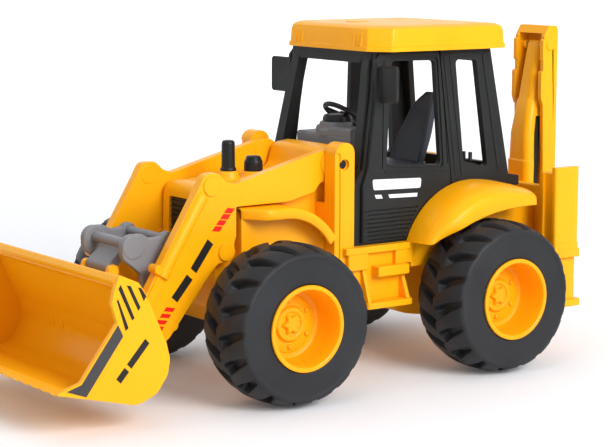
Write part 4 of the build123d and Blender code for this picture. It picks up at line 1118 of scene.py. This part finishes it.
# ---------- backhoe
BOOM_ROWS = ((64, -231.2, -243.2, 10), (78, -233.5, -243.2, 10), (99, -233.4, -243.2, 10),
             (112.4, -233.2, -243.8, 10.2), (113.2, -233.9, -243.8, 9.7), (130, -234, -245, 8.9),
             (151, -238, -247.6, 7.7), (151.8, -238.8, -247.7, 7.2), (170, -241.9, -249.6, 6.3),
             (184, -244.6, -251, 5.6), (187.4, -245.8, -250.8, 5.5), (189.1, -247.2, -249.8, 5.2))
STRIP_ROWS = ((97, -243, -239.6, 10.05), (112.6, -243.4, -239.6, 10.12),
              (130, -244.6, -240.4, 9), (141, -245.8, -242, 8.36))


def boom():
    """Box boom with a bowed front, getting narrower in steps towards the top."""
    bm = blank()
    rows = []
    for z, front, rear, half in BOOM_ROWS:
        bow = min(4.4, 0.46 * (front - rear))
        outline = [(rear, -half, 0.6), (front, -half, bow), (front, half, bow), (rear, half, 0.6)]
        rows.append(level_row(rounded(outline, steps=7), z))
    loft(bm, rows)
    slab(bm, ring((-237, 60), 7), -10, 10)
    look("boom", bm, "boom_arm", YELLOW_DIGGER, round_by=0.35, angle=36)
    for side, sign in SIDES:
        strip = blank()
        rows = []
        for z, rear, front, half in STRIP_ROWS:
            section = ((rear, half), (rear, half + 0.15), (front, half + 0.15), (front, half))
            rows.append([place(x, sign * y, z) for x, y in section])
        loft(strip, rows)
        piece(f"boom_strip_{side}", strip, "boom_arm", INK, round_by=0)


boom()


BOOM_TOP = (-248.3, 0, 186)
DIPPER_BACK = (-255.7, -254.6)


def dipper_details():
    """Bosses over the boom's top pin, hooked pockets below the dipper's head and ribs on its back."""
    bm = blank()
    for sign in (1, -1):
        lathe(bm, [(3.4, 13.2), (3.4, 13.9), (2.8, 14.3), (0.3, 14.3)], BOOM_TOP, sign=sign, count=28)
        lathe(bm, [(2.9, 6.6), (2.9, 10.9), (0.3, 10.9), (0.3, 6.6)], BOOM_TOP, sign=sign, count=28,
              closed=True)
        for pocket in ([(-242.4, 170.6, 0.8), (-240.9, 169, 0.8), (-240.9, 153, 1.2), (-242.7, 148)],
                       [(-243, 190.4), (-241.9, 189.4, 0.8), (-241.9, 177.2, 0.8), (-242.6, 176)]):
            side_slab(bm, rounded(pocket), sign, 10.8, 14)
        low, high = sorted((sign * 9.6, sign * 12.4))
        rail = rounded([(low, 92, 1), (high, 92, 1), (high, 192, 1), (low, 192, 1)])
        slab(bm, rail, *DIPPER_BACK, front_point)
    for z in (92, 123, 158, 189.2):
        slab(bm, [(-10, z), (10, z), (10, z + 2.8), (-10, z + 2.8)], *DIPPER_BACK, front_point)
    piece("dipper_details", bm, "dipper_arm", YELLOW_DIGGER, round_by=0.3)


dipper_details()


def digger_strips():
    """Two wear strips round the back of the digger bucket."""
    bm = blank()
    strip = [(-260.8, 35.4), (-268.5, 39.4), (-272.6, 47.8), (-271.4, 48.4), (-267.4, 40.8), (-260.8, 36.8)]
    for y in (-7, 7):
        slab(bm, strip, y - 1.2, y + 1.2)
    piece("digger_strips", bm, "digger_bucket", YELLOW_DIGGER, round_by=0.25, segments=2)


digger_strips()


def casing(side, sign):
    """Upright box for the sliding leg: a tall outer cover and a lower inner part with a ribbed front."""
    cover = rounded([(-197.2, sign * 71.6, 1), (-197.2, sign * 76, 1.6), (-216.4, sign * 76, 1.6),
                     (-216.4, sign * 71.6, 1)])
    inner = rect(-198.4, -216, 60, 72)
    rib = rect(-196.4, -199, 64, 65.6)
    hole = level_solid(rect(-199.3, -214.7, 62.6, 73.4), sign, 60, 111.8)
    body = carved("casing", [solid(cover, 70, 117, level_point), level_solid(inner, sign, 70, 113),
                             level_solid(rib, sign, 70, 112.6)], [hole])
    look(f"stabilizer_casing_{side}", body, "chassis", YELLOW_DIGGER)


both(casing)


def stabilizer(side, sign):
    """Collar below the casing, and the leg that slides in both."""
    outer = level_solid(rect(-197, -216.6, 59.8, 76.2, 1.2, 1.2), sign, 66, 71)
    wide = level_solid(rect(-196.4, -217.6, 59.2, 76.8, 1.2, 1.2), sign, 61.8, 67)
    hole = level_solid(rect(-199.4, -214.6, 62.4, 73.6), sign, 60, 73)
    body = carved("collar", [outer, wide], [hole])
    lathe(body, [(3, -217), (3, -217.9), (2.5, -218.3), (0.3, -218.3)], (0, sign * 68, 82), "X", 24)
    piece(f"stabilizer_collar_{side}", body, "chassis", YELLOW_DIGGER, round_by=0.4)
    leg = blank()
    for front, rear, near, far, radius, low, high in ((-200, -216.6, 62.6, 73.4, 0.8, 35, 61.2),
                                                      (-197.4, -220.4, 60.2, 75.4, 1.5, 31, 35.4),
                                                      (-200, -214, 63, 73, 0, 60, 111)):
        level_slab(leg, rect(front, rear, near, far, radius, radius), sign, low, high)
    look(f"stabilizer_leg_{side}", leg, f"leg_{side}", YELLOW_DIGGER, round_by=0.4)


both(stabilizer)

# ---------- studio
SWEEP_R = 4.0
SWEEP_BEND = 1.6
SWEEP_TOP = 5.0


def paper_sweep():
    """A round paper floor that curves up into a backdrop on every side."""
    flat_r = SWEEP_R - SWEEP_BEND
    bends = [math.pi / 2 * k / 12 for k in range(1, 13)]
    profile = [(0.001, 0.0), (0.6, 0.0), (1.4, 0.0), (flat_r, 0.0)]
    profile += [(flat_r + SWEEP_BEND * math.sin(a), SWEEP_BEND * (1 - math.cos(a))) for a in bends]
    profile.append((SWEEP_R, SWEEP_TOP))
    bm = blank()
    loft(bm, [[(r * math.cos(a), r * math.sin(a), z) for a in turns(64)] for r, z in profile],
         far_cap=False)
    mesh = mesh_from("floor", bm)
    mesh.shade_smooth()
    return new_object("floor", mesh)


FAR_SIDE = (-0.588, -0.809, 0.0)
floor = paper_sweep()
FLOOR_MAT, floor_tree, floor_shader = new_material("paper_floor")
paper = noise(floor_tree, 3.0, 2.0)
tone = ramp(floor_tree, paper.outputs["Fac"], zip(CLOUD_RANGE, ((0.88, 0.885, 0.90), (0.90, 0.905, 0.92))))
floor_tree.links.new(tone.outputs["Color"], floor_shader.inputs["Base Color"])
floor_shader.inputs["Roughness"].default_value = 0.7
floor_shader.inputs["Specular IOR Level"].default_value = 0.2
floor_shader.inputs["Emission Color"].default_value = (1.0, 1.0, 1.0, 1.0)
where = floor_tree.nodes.new("ShaderNodeTexCoord")
reach = floor_tree.nodes.new("ShaderNodeVectorMath")
reach.operation = "DOT_PRODUCT"
reach.inputs[1].default_value = FAR_SIDE
floor_tree.links.new(where.outputs["Object"], reach.inputs[0])
glow = spread(floor_tree, reach.outputs["Value"], (0.3, 2.2), (0.04, 0.50))
floor_tree.links.new(glow.outputs["Result"], floor_shader.inputs["Emission Strength"])
floor.data.materials.append(FLOOR_MAT)


def area_light(name, position, target, size, power):
    data = bpy.data.lights.new(name, "AREA")
    data.shape = "RECTANGLE"
    data.size, data.size_y = size
    data.energy = power
    lamp = new_object(name, data)
    lamp.location = position
    lamp.rotation_euler = (Vector(target) - Vector(position)).to_track_quat("-Z", "Y").to_euler()


area_light("key", (-0.1, 1.75, 1.05), (0, 0, 0.08), (1.0, 0.9), 35.0)
area_light("overhead", (0.1, -0.2, 1.9), (0, 0, 0.1), (1.8, 1.8), 7.0)
area_light("front_fill", (1.6, 0.9, 1.1), (0, 0, 0.1), (0.9, 0.9), 2.4)
world = bpy.data.worlds.new("studio")
world.use_nodes = True
world.node_tree.nodes["Background"].inputs["Color"].default_value = (0.90, 0.93, 1.0, 1.0)
world.node_tree.nodes["Background"].inputs["Strength"].default_value = 0.3
bpy.context.scene.world = world
bpy.context.scene.view_settings.view_transform = "Standard"

# ---------- camera
TURN = math.radians(35.99)
DROP = math.radians(8.511)
ROLL = 0.004195
CAMERA_AT = (597.41, 914.44, 254.33)
LENS = 113.04
aim = Vector((-math.sin(TURN) * math.cos(DROP), -math.cos(TURN) * math.cos(DROP), -math.sin(DROP)))
right = aim.cross(Vector((0, 0, 1))).normalized()
up = right.cross(aim)
right, up = (math.cos(ROLL) * right + math.sin(ROLL) * up,
             math.cos(ROLL) * up - math.sin(ROLL) * right)
cam_data = bpy.data.cameras.new("camera")
cam_data.sensor_width = 36.0
cam_data.lens = LENS
camera = new_object("camera", cam_data)
turn = Matrix((right, up, -aim)).transposed()
camera.matrix_world = Matrix.Translation(place(*CAMERA_AT)) @ turn.to_4x4()
bpy.context.scene.camera = camera
